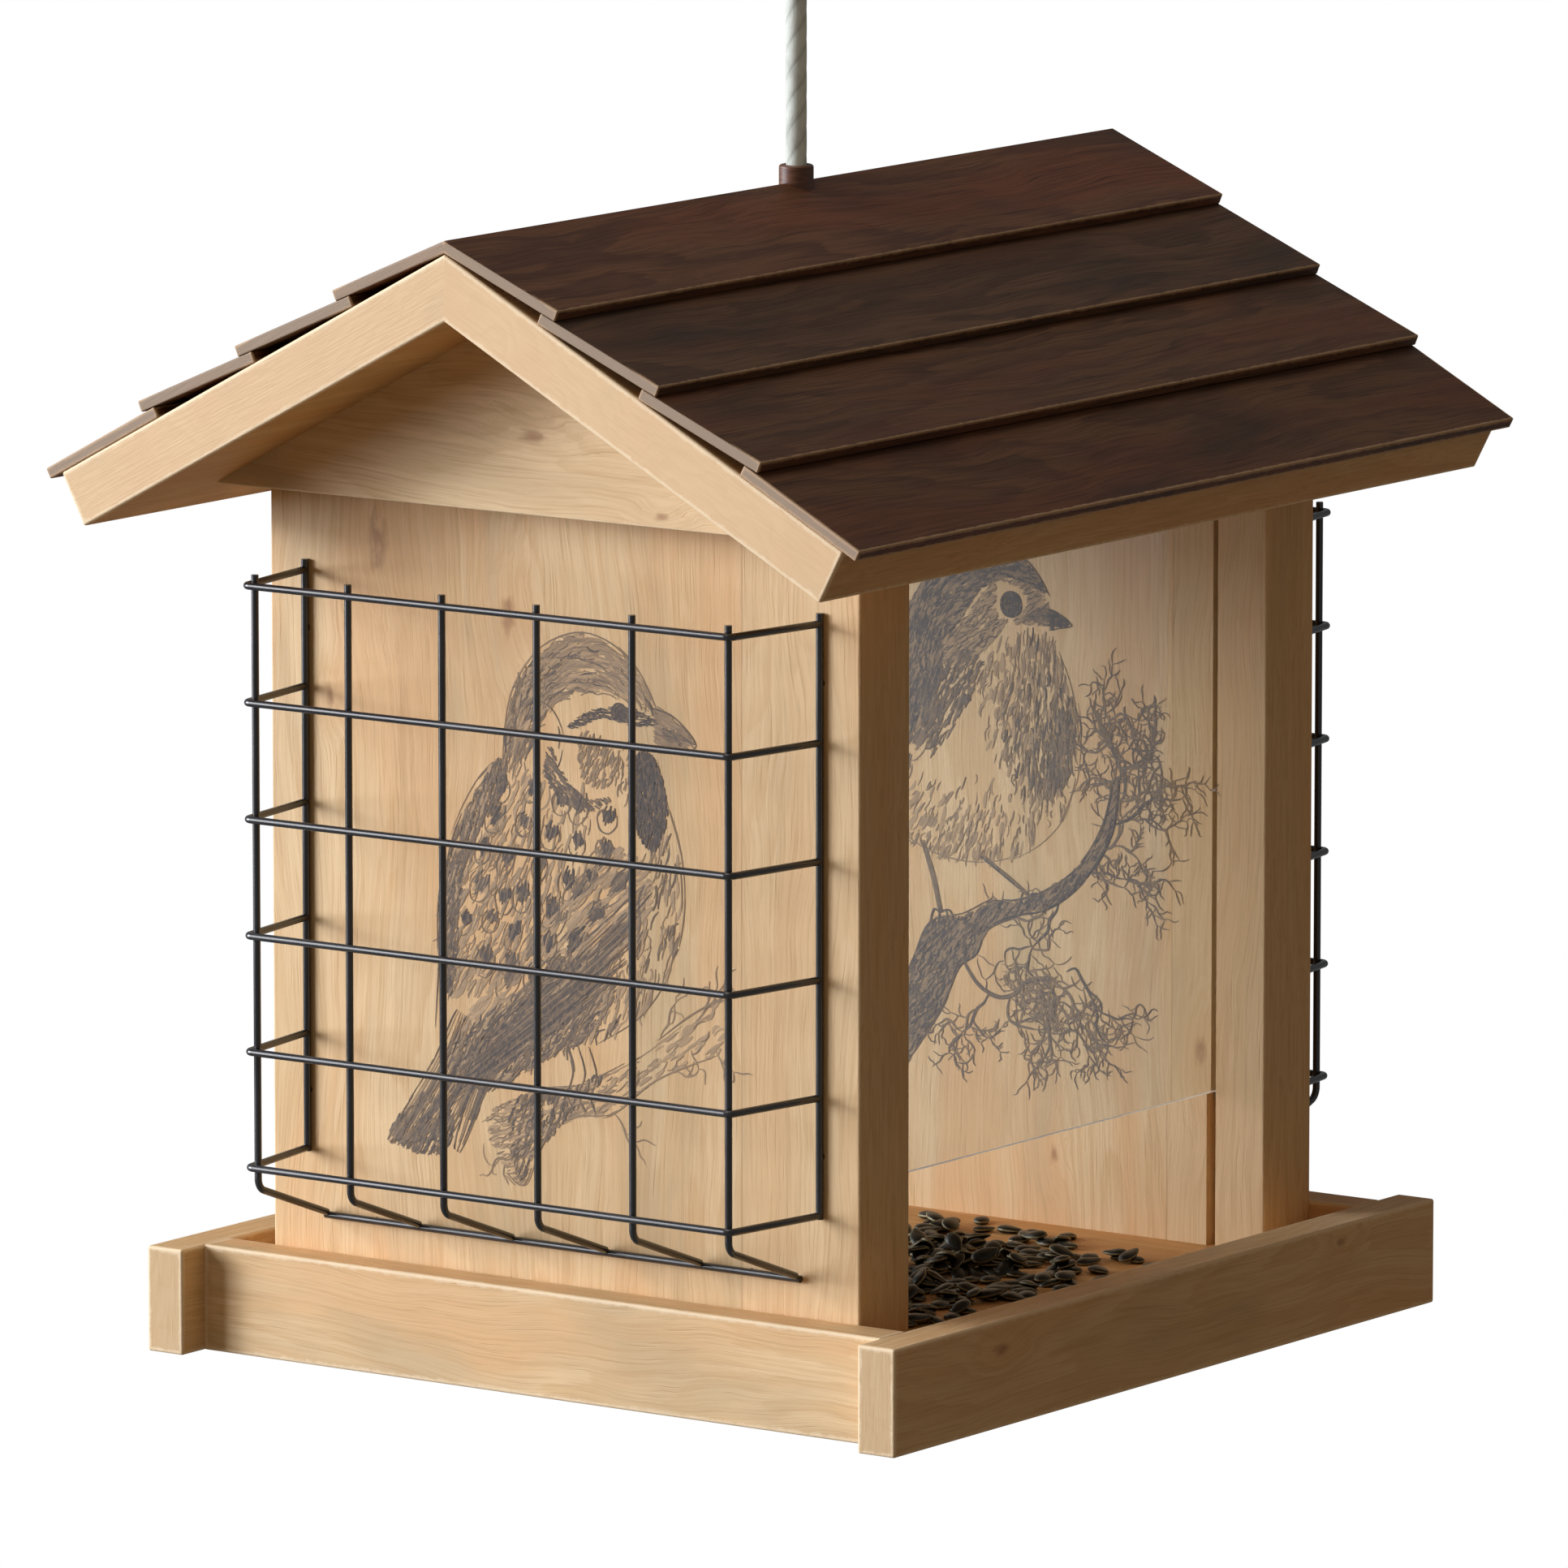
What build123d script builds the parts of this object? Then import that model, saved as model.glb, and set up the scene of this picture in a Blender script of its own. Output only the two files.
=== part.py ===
from build123d import *
import math
import os

os.makedirs("parts", exist_ok=True)

# Hanging bird feeder: a little timber house on a seed tray, under a lift-off
# shingled roof, with a clear sliding panel in each long side, a welded-wire suet
# cage on each end wall, and one rope that carries the house by a bar under the ridge.
#
# Frame: +Z up, the ridge runs along Y, the front cage faces -Y, and the clear
# panels face -X (left) and +X (right). Everything is drawn about the middle of the
# house and then moved along Y by `frame_shift`, so that the origin of the finished
# part is the middle of its bounding box on the plane that it stands on.
# All sizes are in millimetres.

# ---------------------------------------------------------------- driving sizes
# tray
tray_width = 199.0          # over the two side rails
tray_length = 208.5         # length of the side rails
rail_thickness = 9.6
rail_height = 23.4
floor_thickness = 14.5

# house
house_width = 156.2
house_length = 173.2        # over the outer faces of the end walls
wall_thickness = 18.4

# roof
roof_pitch = 28.0           # degrees
ridge_height = 250.6        # where the top faces of the two roof panels meet
roof_board = 12.7           # thickness of the roof panels and gable boards
slope_length = 116.5
front_overhang = 41.4       # beyond the house's front wall
rear_overhang = 35.9
gable_underside = 192.0     # height of the gable boards' bottom edge
gable_play = 0.3            # between a gable board and its end wall, so the roof lifts

# shingles
course_count = 4
shingle_thickness = 2.5
shingle_exposure = 29.6     # distance from one lower edge to the next
shingle_lap = 3.8           # how far a course covers the one below it
eave_drip = 3.5             # lowest shingle beyond the roof panel

# clear panels and the grooves that they slide in
panel_thickness = 2.0
panel_height = 142.0
panel_gap = 49.1            # height of a panel's bottom edge: seed runs out under it
groove_inset = 14.15        # from the house's side to the groove's middle
groove_width = 2.4
groove_depth = 5.0
panel_end_play = 0.3        # between a panel's edge and the bottom of its groove

# rope and what it runs through
rope_diameter = 4.6
rope_hole = 5.2
collar_outer = 7.6
collar_bore = 5.4
collar_stand = 3.8          # above the peak of the shingles
collar_length = 19.0
roof_lift = 45.0            # rope shown between the collar and the hanging eye
eye_outer = 26.0
eye_bore = 14.0
eye_width = 6.0
socket_outer = 9.0
socket_length = 12.0
socket_depth = 8.0
eye_web = 1.5               # material between the socket's top and the eye's bore

# bar that the rope carries the house by
bar_width = 20.0
bar_height = 14.0
bar_top = 222.0
washer_outer = 16.0
washer_thickness = 1.2
knot_radius = 6.6
knot_seat = 0.86            # the ball's centre below the washer, as a part of its radius
knot_tail = 9.0

# suet cages, welded from round wire
wire = 1.6
column_count = 6
column_pitch = 25.0
row_count = 6
row_pitch = 25.4
top_row = 173.0
cage_depth = 25.1           # from the wires on the wall to the front uprights
cage_splay = 5.7            # how much wider each side is at the wall
wire_tip = 2.3              # uprights above the top row
front_drop = 4.6            # front uprights below the bottom row
wall_wire_height = 31.7
weld_bite = 0.1             # how far crossing wires sink into each other
hoop_bend = 1.5             # centre-line radius of the hoops' corners
foot_bend = 3.0             # centre-line radius where an upright turns in
peg_length = 8.0

# hidden fixings
dowel_diameter = 5.0
dowel_in_rail = 6.0
dowel_in_floor = 13.0
side_dowel_ys = (-60.0, 0.0, 60.0)
end_dowel_xs = (-62.0, 62.0)
ridge_dowel_diameter = 4.0
ridge_dowel_reach = 9.0     # into each roof panel
ridge_dowel_rise = 4.6      # above the soffit's peak
ridge_dowel_ys = (-108.0, -50.0, 50.0, 108.0)
screw_shank = 4.0
screw_head = 8.0
screw_tip = 0.3             # radius of the blunt point
screw_recess_width = 0.9
screw_recess_depth = 1.2
screw_length = 38.0
floor_screw_xs = (-40.0, 40.0)
bar_screw_xs = (-5.0, 5.0)
roof_screw_length = 28.0
roof_screws_along = (22.0, 50.0)    # down the slope from the ridge
stop_pin_diameter = 2.0
stop_pin_stand = 2.5        # out of the groove's bottom
stop_pin_in_wall = 6.0

edge_break = 0.6            # rounding of the exposed timber edges
fine_break = 0.35           # the same on shingles and gable boards
panel_edge_break = 0.25     # the same on the clear panels
bar_edge_break = 1.0
eye_edge_break = 1.5

# ---------------------------------------------------------------- worked out
half_tray = tray_width / 2
inner_tray = half_tray - rail_thickness
half_house = house_width / 2
wall_outer = house_length / 2
wall_inner = wall_outer - wall_thickness
wall_middle = wall_outer - wall_thickness / 2

pitch = math.radians(roof_pitch)
soffit_peak = ridge_height - roof_board / math.cos(pitch)
roof_front = -(wall_outer + front_overhang)
roof_rear = wall_outer + rear_overhang
frame_shift = -(roof_front + roof_rear) / 2
gable_inner = wall_outer + gable_play
gable_middle = gable_inner + roof_board / 2

groove_x = half_house - groove_inset
groove_bottom = wall_inner + groove_depth

bar_bottom = bar_top - bar_height
washer_bottom = bar_bottom - washer_thickness

shingle_tilt = math.asin(shingle_thickness / shingle_exposure)
shingle_length = shingle_exposure + shingle_lap
last_edge = slope_length + eave_drip

front_wires = wall_outer + wire / 2 + cage_depth
wall_wires = wall_outer + wire / 2
half_columns = column_pitch * (column_count - 1) / 2
weld_step = wire - weld_bite
bottom_row = top_row - row_pitch * (row_count - 1)


# ---------------------------------------------------------------- helpers
def save(name, *solids):
    """Write one node, moved into the finished part's frame."""
    moved = [Pos(0, frame_shift, 0) * solid for solid in solids]
    export_step(moved[0] if len(moved) == 1 else Compound(children=moved), f"parts/{name}.step")


def on_slope(along, above):
    """X and Z of a point on the right slope: `along` it from the ridge, `above` the panel's top."""
    x = along * math.cos(pitch) + above * math.sin(pitch)
    z = ridge_height - along * math.sin(pitch) + above * math.cos(pitch)
    return x, z


def prism(outline, near, far):
    """An outline in X and Z, filled between two values of Y."""
    face = make_face(Plane.XZ * Polyline(*outline, close=True))
    return extrude(Pos(0, near, 0) * face, far - near, dir=(0, 1, 0))


def rod(start, end, diameter):
    """A straight round bar between two points."""
    axis = Vector(*end) - Vector(*start)
    return extrude(Plane(origin=start, z_dir=axis) * Circle(diameter / 2), axis.length)


def bent_wire(points, bend):
    """Round wire along straight runs with rounded bends."""
    path = FilletPolyline(*points, radius=bend)
    return sweep(Plane(origin=path @ 0, z_dir=path % 0) * Circle(wire / 2), path)


def screw_hole(head_at, direction, length):
    """The hole that a countersunk screw fills, its head's face at `head_at`."""
    head_depth = (screw_head - screw_shank) / 2
    shank_length = length - head_depth - screw_shank
    hole = Pos(0, 0, head_depth / 2) * Cone(screw_head / 2, screw_shank / 2, head_depth)
    hole += Pos(0, 0, head_depth + shank_length / 2) * Cylinder(screw_shank / 2, shank_length)
    hole += Pos(0, 0, length - screw_shank / 2) * Cone(screw_shank / 2, screw_tip, screw_shank)
    return Plane(origin=head_at, z_dir=direction) * hole


def screw(head_at, direction, length):
    """Countersunk wood screw with a cross recess."""
    slot_length = screw_head * 0.55
    recess = Box(slot_length, screw_recess_width, 2 * screw_recess_depth)
    recess += Box(screw_recess_width, slot_length, 2 * screw_recess_depth)
    return screw_hole(head_at, direction, length) - Plane(origin=head_at, z_dir=direction) * recess


# ---------------------------------------------------------------- hidden fixings
def rail_dowel_pegs():
    """Dowels that tie the four rails to the floor's edges."""
    middle = floor_thickness / 2
    pegs = []
    for side in (-1, 1):
        for y in side_dowel_ys:
            pegs.append(rod((side * (inner_tray - dowel_in_floor), y, middle),
                            (side * (inner_tray + dowel_in_rail), y, middle), dowel_diameter))
        for x in end_dowel_xs:
            pegs.append(rod((x, side * (wall_outer - dowel_in_floor), middle),
                            (x, side * (wall_outer + dowel_in_rail), middle), dowel_diameter))
    return pegs


def floor_screw_places():
    """Head position, direction and length of the screws up into the end walls."""
    return [((x, side * wall_middle, 0), (0, 0, 1), screw_length)
            for side in (-1, 1) for x in floor_screw_xs]


def bar_screw_places():
    """Two screws through each end wall into the hanger bar, hidden by the gable boards."""
    height = bar_top - bar_height / 2
    return [((x, side * wall_outer, height), (0, -side, 0), screw_length)
            for side in (-1, 1) for x in bar_screw_xs]


def roof_screw_places():
    """Two screws a slope through the roof panels into each gable board, under the shingles."""
    places = []
    for side in (-1, 1):
        for y in (-gable_middle, gable_middle):
            for along in roof_screws_along:
                x, z = on_slope(along, 0)
                down = (-side * math.sin(pitch), 0, -math.cos(pitch))
                places.append(((side * x, y, z), down, roof_screw_length))
    return places


def ridge_dowel_pegs():
    """Dowels across the mitre that joins the two roof panels."""
    height = soffit_peak + ridge_dowel_rise
    return [rod((-ridge_dowel_reach, y, height), (ridge_dowel_reach, y, height), ridge_dowel_diameter)
            for y in ridge_dowel_ys]


def stop_pin_pegs():
    """Pins in the grooves that hold the clear panels up above the tray."""
    height = panel_gap - stop_pin_diameter / 2
    return [rod((x, side * (groove_bottom - stop_pin_stand), height),
                (x, side * (groove_bottom + stop_pin_in_wall), height), stop_pin_diameter)
            for x in (-groove_x, groove_x) for side in (-1, 1)]


def cage_peg_places():
    """X and Z of the pegs behind the front cage's wires on the wall."""
    side_x = half_columns + cage_splay
    rows = (top_row - row_pitch / 2, bottom_row + row_pitch / 2)
    places = [(x, z) for x in (-side_x, side_x) for z in rows]
    places += [(x, wall_wire_height) for x in (-half_columns + column_pitch / 2,
                                               half_columns - column_pitch / 2)]
    return places


def cage_peg_set():
    """Pegs welded to the back of the front cage and pressed into the end wall."""
    return [rod((x, -wall_wires, z), (x, -wall_outer + peg_length, z), wire)
            for x, z in cage_peg_places()]


# ---------------------------------------------------------------- tray
def tray_floor():
    """The board that the end walls stand on, drilled at its edges and from below."""
    floor = Box(2 * inner_tray, house_length, floor_thickness, align=(Align.CENTER, Align.CENTER, Align.MIN))
    for peg in rail_dowel_pegs():
        floor -= peg
    for place in floor_screw_places():
        floor -= screw_hole(*place)
    return floor


def side_rail():
    """The right side rail. It runs past the end rails at both ends."""
    rail = Box(rail_thickness, tray_length, rail_height, align=(Align.MIN, Align.CENTER, Align.MIN))
    rail = fillet(rail.edges(), edge_break)
    rail = Pos(inner_tray, 0, 0) * rail
    for peg in rail_dowel_pegs():
        rail -= peg
    return rail


def end_rail():
    """The front end rail, between the side rails and against the front wall."""
    rail = Box(2 * inner_tray, rail_thickness, rail_height, align=(Align.CENTER, Align.MAX, Align.MIN))
    rail = fillet(rail.edges().filter_by(Axis.X), edge_break)
    rail = Pos(0, -wall_outer, 0) * rail
    for peg in rail_dowel_pegs():
        rail -= peg
    return rail


# ---------------------------------------------------------------- house
def end_wall():
    """The front end wall: a gable-topped board with a groove for each clear panel."""
    eave = soffit_peak - half_house * math.tan(pitch)
    outline = [(-half_house, floor_thickness), (half_house, floor_thickness),
               (half_house, eave), (0, soffit_peak), (-half_house, eave)]
    wall = prism(outline, -wall_outer, -wall_inner)
    wall = fillet(wall.edges().filter_by(Axis.Z), edge_break)
    for x in (-groove_x, groove_x):
        groove = Box(groove_width, groove_depth, 2 * ridge_height)
        wall -= Pos(x, -wall_inner - groove_depth / 2, ridge_height) * groove
    for place in floor_screw_places() + bar_screw_places():
        wall -= screw_hole(*place)
    for peg in stop_pin_pegs() + cage_peg_set():
        wall -= peg
    return wall


def clear_panel():
    """The right clear panel, with lightly rounded edges."""
    half_width = groove_bottom - panel_end_play
    sheet = Box(panel_thickness, 2 * half_width, panel_height, align=(Align.CENTER, Align.CENTER, Align.MIN))
    sheet = fillet(sheet.edges(), panel_edge_break)
    return Pos(groove_x, 0, panel_gap) * sheet


def hanger_bar():
    """Bar between the end walls, drilled for the rope that carries the house."""
    bar = Box(bar_width, 2 * wall_inner, bar_height)
    bar = fillet(bar.edges().filter_by(Axis.Y), bar_edge_break)
    bar = Pos(0, 0, bar_top - bar_height / 2) * bar
    bar -= Pos(0, 0, bar_top) * Cylinder(rope_hole / 2, 3 * bar_height)
    for place in bar_screw_places():
        bar -= screw_hole(*place)
    return bar


# ---------------------------------------------------------------- suet cage
def cage_uprights():
    """Front cage: six uprights whose feet turn in to the wall, and two on the wall."""
    tip = top_row + wire_tip
    elbow = bottom_row - front_drop
    wires = []
    for column in range(column_count):
        x = -half_columns + column * column_pitch
        points = [(x, -front_wires, tip), (x, -front_wires, elbow),
                  (x, -wall_wires - weld_step / 2, wall_wire_height + weld_step / 2)]
        wires.append(bent_wire(points, foot_bend))
    for side in (-1, 1):
        x = side * (half_columns + cage_splay)
        wires.append(rod((x, -wall_wires, tip), (x, -wall_wires, bottom_row - wire / 2), wire))
    return wires


def cage_hoops():
    """Front cage: six hoops around the outside of the uprights, and the wire along the wall."""
    corner = half_columns + weld_step
    at_wall = half_columns + cage_splay
    wires = []
    for row in range(row_count):
        z = top_row - row * row_pitch
        points = [(-at_wall, -wall_wires, z), (-corner, -front_wires - weld_step, z),
                  (corner, -front_wires - weld_step, z), (at_wall, -wall_wires, z)]
        wires.append(bent_wire(points, hoop_bend))
    half_wire = half_columns + wire / 2
    wires.append(rod((-half_wire, -wall_wires, wall_wire_height),
                     (half_wire, -wall_wires, wall_wire_height), wire))
    return wires


# ---------------------------------------------------------------- rope
def rope():
    """The stretch from the knot up into the hanging eye's socket."""
    top = collar_top() + roof_lift + socket_depth
    return rod((0, 0, washer_bottom), (0, 0, top), rope_diameter)


def rope_knot():
    """Knot that bears on the washer, with the rope's short tail below it."""
    centre = washer_bottom - knot_radius * knot_seat
    ball = Pos(0, 0, centre) * Sphere(knot_radius)
    ball = split(ball, bisect_by=Plane.XY.offset(washer_bottom), keep=Keep.BOTTOM)
    tail = rod((0, 0, centre), (0, 0, centre - knot_radius - knot_tail), rope_diameter)
    return ball + tail


def knot_washer():
    """Washer that spreads the load under the hanger bar."""
    ring = Cylinder(washer_outer / 2, washer_thickness) - Cylinder(rope_hole / 2, washer_thickness)
    return Pos(0, 0, bar_bottom - washer_thickness / 2) * ring


def hanging_eye():
    """Moulded eye on the rope's upper end, for a hook or branch hanger."""
    socket_bottom = collar_top() + roof_lift
    ring_centre = socket_bottom + socket_length + eye_web + eye_bore / 2
    socket = Pos(0, 0, socket_bottom + socket_length / 2) * Cylinder(socket_outer / 2, socket_length)
    ring = Pos(0, 0, ring_centre) * Rot(90, 0, 0) * Cylinder(eye_outer / 2, eye_width)
    ring = fillet(ring.edges(), eye_edge_break)
    eye = socket + ring
    eye -= Pos(0, 0, ring_centre) * Rot(90, 0, 0) * Cylinder(eye_bore / 2, 2 * eye_width)
    eye -= rod((0, 0, socket_bottom - 1), (0, 0, socket_bottom + socket_depth), rope_diameter)
    return eye


# ---------------------------------------------------------------- roof
def shingle_outline(course):
    """Corners of one course on the right slope. The lowest lies flat; the others ride on it."""
    upper = last_edge - shingle_length - (course_count - course) * shingle_exposure
    tilt = 0.0 if course == course_count else shingle_tilt
    run = (shingle_length * math.cos(tilt), shingle_length * math.sin(tilt))
    rise = (-shingle_thickness * math.sin(tilt), shingle_thickness * math.cos(tilt))
    corners = [(upper, 0), (upper + run[0], run[1]),
               (upper + run[0] + rise[0], run[1] + rise[1]), (upper + rise[0], rise[1])]
    return [on_slope(*corner) for corner in corners]


def shingle_peak():
    """Height at which the two top courses meet over the ridge."""
    corners = shingle_outline(1)
    (x_low, z_low), (x_high, z_high) = corners[2], corners[3]
    return z_low + (z_high - z_low) * x_low / (x_low - x_high)


def collar_top():
    """Height of the collar's rim."""
    return shingle_peak() + collar_stand


def collar_hole():
    """The hole through the ridge that the collar fills."""
    return Pos(0, 0, ridge_height) * Cylinder(collar_outer / 2, 4 * roof_board)


def shingle(course):
    """One shingle board of the right slope, as long as the roof. Course 1 is at the ridge."""
    board = prism(shingle_outline(course), roof_front, roof_rear)
    board = fillet(board.edges(), fine_break)
    if course == 1:
        board = split(board, bisect_by=Plane.YZ, keep=Keep.TOP) - collar_hole()
    return board


def roof_panel():
    """The right roof panel, mitred at the ridge."""
    outline = [on_slope(0, 0), on_slope(slope_length, 0), on_slope(slope_length, -roof_board),
               (0, soffit_peak)]
    panel = prism(outline, roof_front, roof_rear)
    off_the_mitre = [edge for edge in panel.edges() if edge.center().X > edge_break]
    panel = fillet(off_the_mitre, edge_break) - collar_hole()
    for place in roof_screw_places():
        panel -= screw_hole(*place)
    for peg in ridge_dowel_pegs():
        panel -= peg
    return panel


def gable_board():
    """The front gable board, fixed under the roof just outside the end wall."""
    half_base = (soffit_peak - gable_underside) / math.tan(pitch)
    outline = [(-half_base, gable_underside), (half_base, gable_underside), (0, soffit_peak)]
    board = prism(outline, -gable_inner - roof_board, -gable_inner)
    board = fillet(board.edges().filter_by(Axis.X), fine_break)
    for place in roof_screw_places():
        board -= screw_hole(*place)
    return board


def rope_collar():
    """Sleeve through the ridge that the rope runs in."""
    tube = Cylinder(collar_outer / 2, collar_length)
    tube = fillet(tube.edges().sort_by(Axis.Z)[-1], edge_break)
    tube -= Cylinder(collar_bore / 2, 2 * collar_length)
    return Pos(0, 0, collar_top() - collar_length / 2) * tube


# ---------------------------------------------------------------- write the nodes
right_rail = side_rail()
front_rail = end_rail()
front_wall = end_wall()
right_sheet = clear_panel()
right_panel = roof_panel()
front_gable = gable_board()
front_uprights = cage_uprights()
front_hoops = cage_hoops()
front_pegs = cage_peg_set()

save("tray_floor", tray_floor())
save("tray_rail_right", right_rail)
save("tray_rail_left", mirror(right_rail, about=Plane.YZ))
save("tray_rail_front", front_rail)
save("tray_rail_rear", mirror(front_rail, about=Plane.XZ))
save("rail_dowels", *rail_dowel_pegs())
save("floor_screws", *[screw(*place) for place in floor_screw_places()])

save("end_wall_front", front_wall)
save("end_wall_rear", mirror(front_wall, about=Plane.XZ))
save("acrylic_panel_right", right_sheet)
save("acrylic_panel_left", mirror(right_sheet, about=Plane.YZ))
save("panel_stop_pins", *stop_pin_pegs())
save("hanger_bar", hanger_bar())
save("hanger_bar_screws", *[screw(*place) for place in bar_screw_places()])

save("suet_cage_front_uprights", *front_uprights)
save("suet_cage_front_hoops", *front_hoops)
save("suet_cage_front_pegs", *front_pegs)
save("suet_cage_rear_uprights", *[mirror(each, about=Plane.XZ) for each in front_uprights])
save("suet_cage_rear_hoops", *[mirror(each, about=Plane.XZ) for each in front_hoops])
save("suet_cage_rear_pegs", *[mirror(each, about=Plane.XZ) for each in front_pegs])

save("rope", rope())
save("rope_knot", rope_knot())
save("knot_washer", knot_washer())
save("hanging_eye", hanging_eye())

save("roof_panel_right", right_panel)
save("roof_panel_left", mirror(right_panel, about=Plane.YZ))
save("gable_board_front", front_gable)
save("gable_board_rear", mirror(front_gable, about=Plane.XZ))
save("rope_collar", rope_collar())
save("ridge_dowels", *ridge_dowel_pegs())
save("roof_screws", *[screw(*place) for place in roof_screw_places()])
for course in range(1, course_count + 1):
    right_shingle = shingle(course)
    save(f"shingle_right_{course}", right_shingle)
    save(f"shingle_left_{course}", mirror(right_shingle, about=Plane.YZ))
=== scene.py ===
"""Hanging bird feeder: rope, seed, printed birds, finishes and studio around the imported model."""
import bpy
import math
import random
from mathutils import Matrix, Vector


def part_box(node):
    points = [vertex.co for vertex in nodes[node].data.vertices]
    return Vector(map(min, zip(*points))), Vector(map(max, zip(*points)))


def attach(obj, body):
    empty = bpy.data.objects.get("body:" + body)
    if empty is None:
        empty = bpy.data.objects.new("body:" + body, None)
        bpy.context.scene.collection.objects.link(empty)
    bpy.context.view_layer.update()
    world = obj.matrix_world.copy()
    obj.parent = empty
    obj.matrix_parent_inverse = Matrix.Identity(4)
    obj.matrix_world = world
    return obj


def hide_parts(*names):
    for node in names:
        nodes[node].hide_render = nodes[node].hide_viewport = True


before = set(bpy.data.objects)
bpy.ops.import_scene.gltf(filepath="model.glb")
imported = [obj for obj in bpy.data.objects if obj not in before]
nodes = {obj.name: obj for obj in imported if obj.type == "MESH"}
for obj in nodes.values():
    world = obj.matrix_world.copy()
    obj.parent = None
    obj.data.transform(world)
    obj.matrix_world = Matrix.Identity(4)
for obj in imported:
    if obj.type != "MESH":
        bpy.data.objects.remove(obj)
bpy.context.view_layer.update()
MM = 0.001

# ---------------------------------------------------------------- sizes
floor_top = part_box("tray_floor")[1].z
rear_low, rear_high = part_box("end_wall_rear")
rope_low, rope_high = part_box("rope")
knot_low, knot_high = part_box("rope_knot")
house_y = (rope_low.y + rope_high.y) / 2
rope_diameter = rope_high.x - rope_low.x
roof_pitch = math.radians(28.0)
inner_face = (rear_low.y - house_y) / MM        # of each end wall, in mm from the middle
outer_face = (rear_high.y - house_y) / MM


# ---------------------------------------------------------------- camera
def aim(thing, target):
    """Turn a camera or lamp so that it looks at a point."""
    thing.rotation_euler = (Vector(target) - thing.location).to_track_quat("-Z", "Y").to_euler()


def add_camera():
    """Long lens, seen from the front right and a little above."""
    azimuth, elevation, distance = math.radians(35.46), math.radians(9.20), 3.24535
    target = Vector((-0.0021, 0.0011, 0.1209))
    away = Vector((math.cos(elevation) * math.sin(azimuth),
                   -math.cos(elevation) * math.cos(azimuth),
                   math.sin(elevation)))
    data = bpy.data.cameras.new("camera")
    data.sensor_width = 36.0
    data.lens = 340.61
    data.clip_end = 60.0
    camera = bpy.data.objects.new("camera", data)
    bpy.context.scene.collection.objects.link(camera)
    camera.location = target + away * distance
    aim(camera, target)
    bpy.context.scene.camera = camera


# ---------------------------------------------------------------- meshes
def mesh_object(name, points, faces, smooth=True):
    """A mesh object in the scene, made from points in metres."""
    mesh = bpy.data.meshes.new(name)
    mesh.from_pydata([tuple(point) for point in points], [], faces)
    mesh.validate()
    if smooth:
        mesh.shade_smooth()
    made = bpy.data.objects.new(name, mesh)
    bpy.context.scene.collection.objects.link(made)
    return made


def add_attribute(thing, name, values):
    """One number for each point of a mesh, for its material to read."""
    attribute = thing.data.attributes.new(name, "FLOAT", "POINT")
    attribute.data.foreach_set("value", values)


def spline_points(route, resolution):
    """Points along the smooth line that a route's NURBS spline gives, in metres."""
    curve = bpy.data.curves.new("route", "CURVE")
    curve.dimensions = "3D"
    spline = curve.splines.new("NURBS")
    spline.points.add(len(route) - 1)
    for point, place in zip(spline.points, route):
        point.co = (*place, 1.0)
    spline.order_u = 3
    spline.use_endpoint_u = True
    spline.resolution_u = resolution
    holder = bpy.data.objects.new("route", curve)
    line = bpy.data.meshes.new_from_object(holder)
    points = [vertex.co.copy() for vertex in line.vertices]
    bpy.data.objects.remove(holder)
    bpy.data.meshes.remove(line)
    return points


def swept_tube(name, line, radius_at, sides):
    """A closed tube along a line. radius_at gives the radius for a length in metres and an angle."""
    across = Vector((1.0, 0.0, 0.0))
    points, faces, radii = [], [], []
    run = 0.0
    for index, centre in enumerate(line):
        before, after = line[max(index - 1, 0)], line[min(index + 1, len(line) - 1)]
        if index:
            run += (centre - before).length
        ahead = (after - before).normalized()
        across = (across - ahead * across.dot(ahead)).normalized()
        upward = ahead.cross(across)
        for side in range(sides):
            angle = 2 * math.pi * side / sides
            radii.append(radius_at(run, angle))
            points.append(centre + (across * math.cos(angle) + upward * math.sin(angle)) * radii[-1])
    for ring in range(len(line) - 1):
        for side in range(sides):
            beside = (side + 1) % sides
            faces.append((ring * sides + side, ring * sides + beside,
                          (ring + 1) * sides + beside, (ring + 1) * sides + side))
    faces.append(tuple(reversed(range(sides))))
    faces.append(tuple((len(line) - 1) * sides + side for side in range(sides)))
    tube = mesh_object(name, points, faces)
    widest = max(radii)
    add_attribute(tube, "sunk", [(widest - radius) / MM for radius in radii])
    return tube


# ---------------------------------------------------------------- rope
LAY_LENGTH = 19.0 * MM      # one turn of a strand
STRANDS = 3
YARNS = 36
GROOVE_DEPTH = 0.09 * MM    # between strands
YARN_DEPTH = 0.024 * MM     # between the fine yarns of a strand


def laid_radius(run, angle):
    """Radius of a tightly laid, soft rope: shallow grooves between strands, and fine yarns."""
    turned = angle - 2 * math.pi * run / LAY_LENGTH
    groove = abs(math.sin(turned * STRANDS / 2)) ** 0.45
    yarn = math.cos(turned * YARNS)
    return rope_diameter / 2 - GROOVE_DEPTH * (1 - groove) - YARN_DEPTH * (1 - yarn)


def add_rope():
    """The taut rope from the knot up into the hanging eye."""
    bottom, top = rope_low.z, rope_high.z
    count = 7
    route = [(0.0, house_y, bottom + (top - bottom) * step / (count - 1)) for step in range(count)]
    line = spline_points(route, resolution=60)
    rope = swept_tube("braided_rope", line, laid_radius, sides=180)
    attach(rope, "house")
    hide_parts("rope")
    return rope, line


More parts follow.
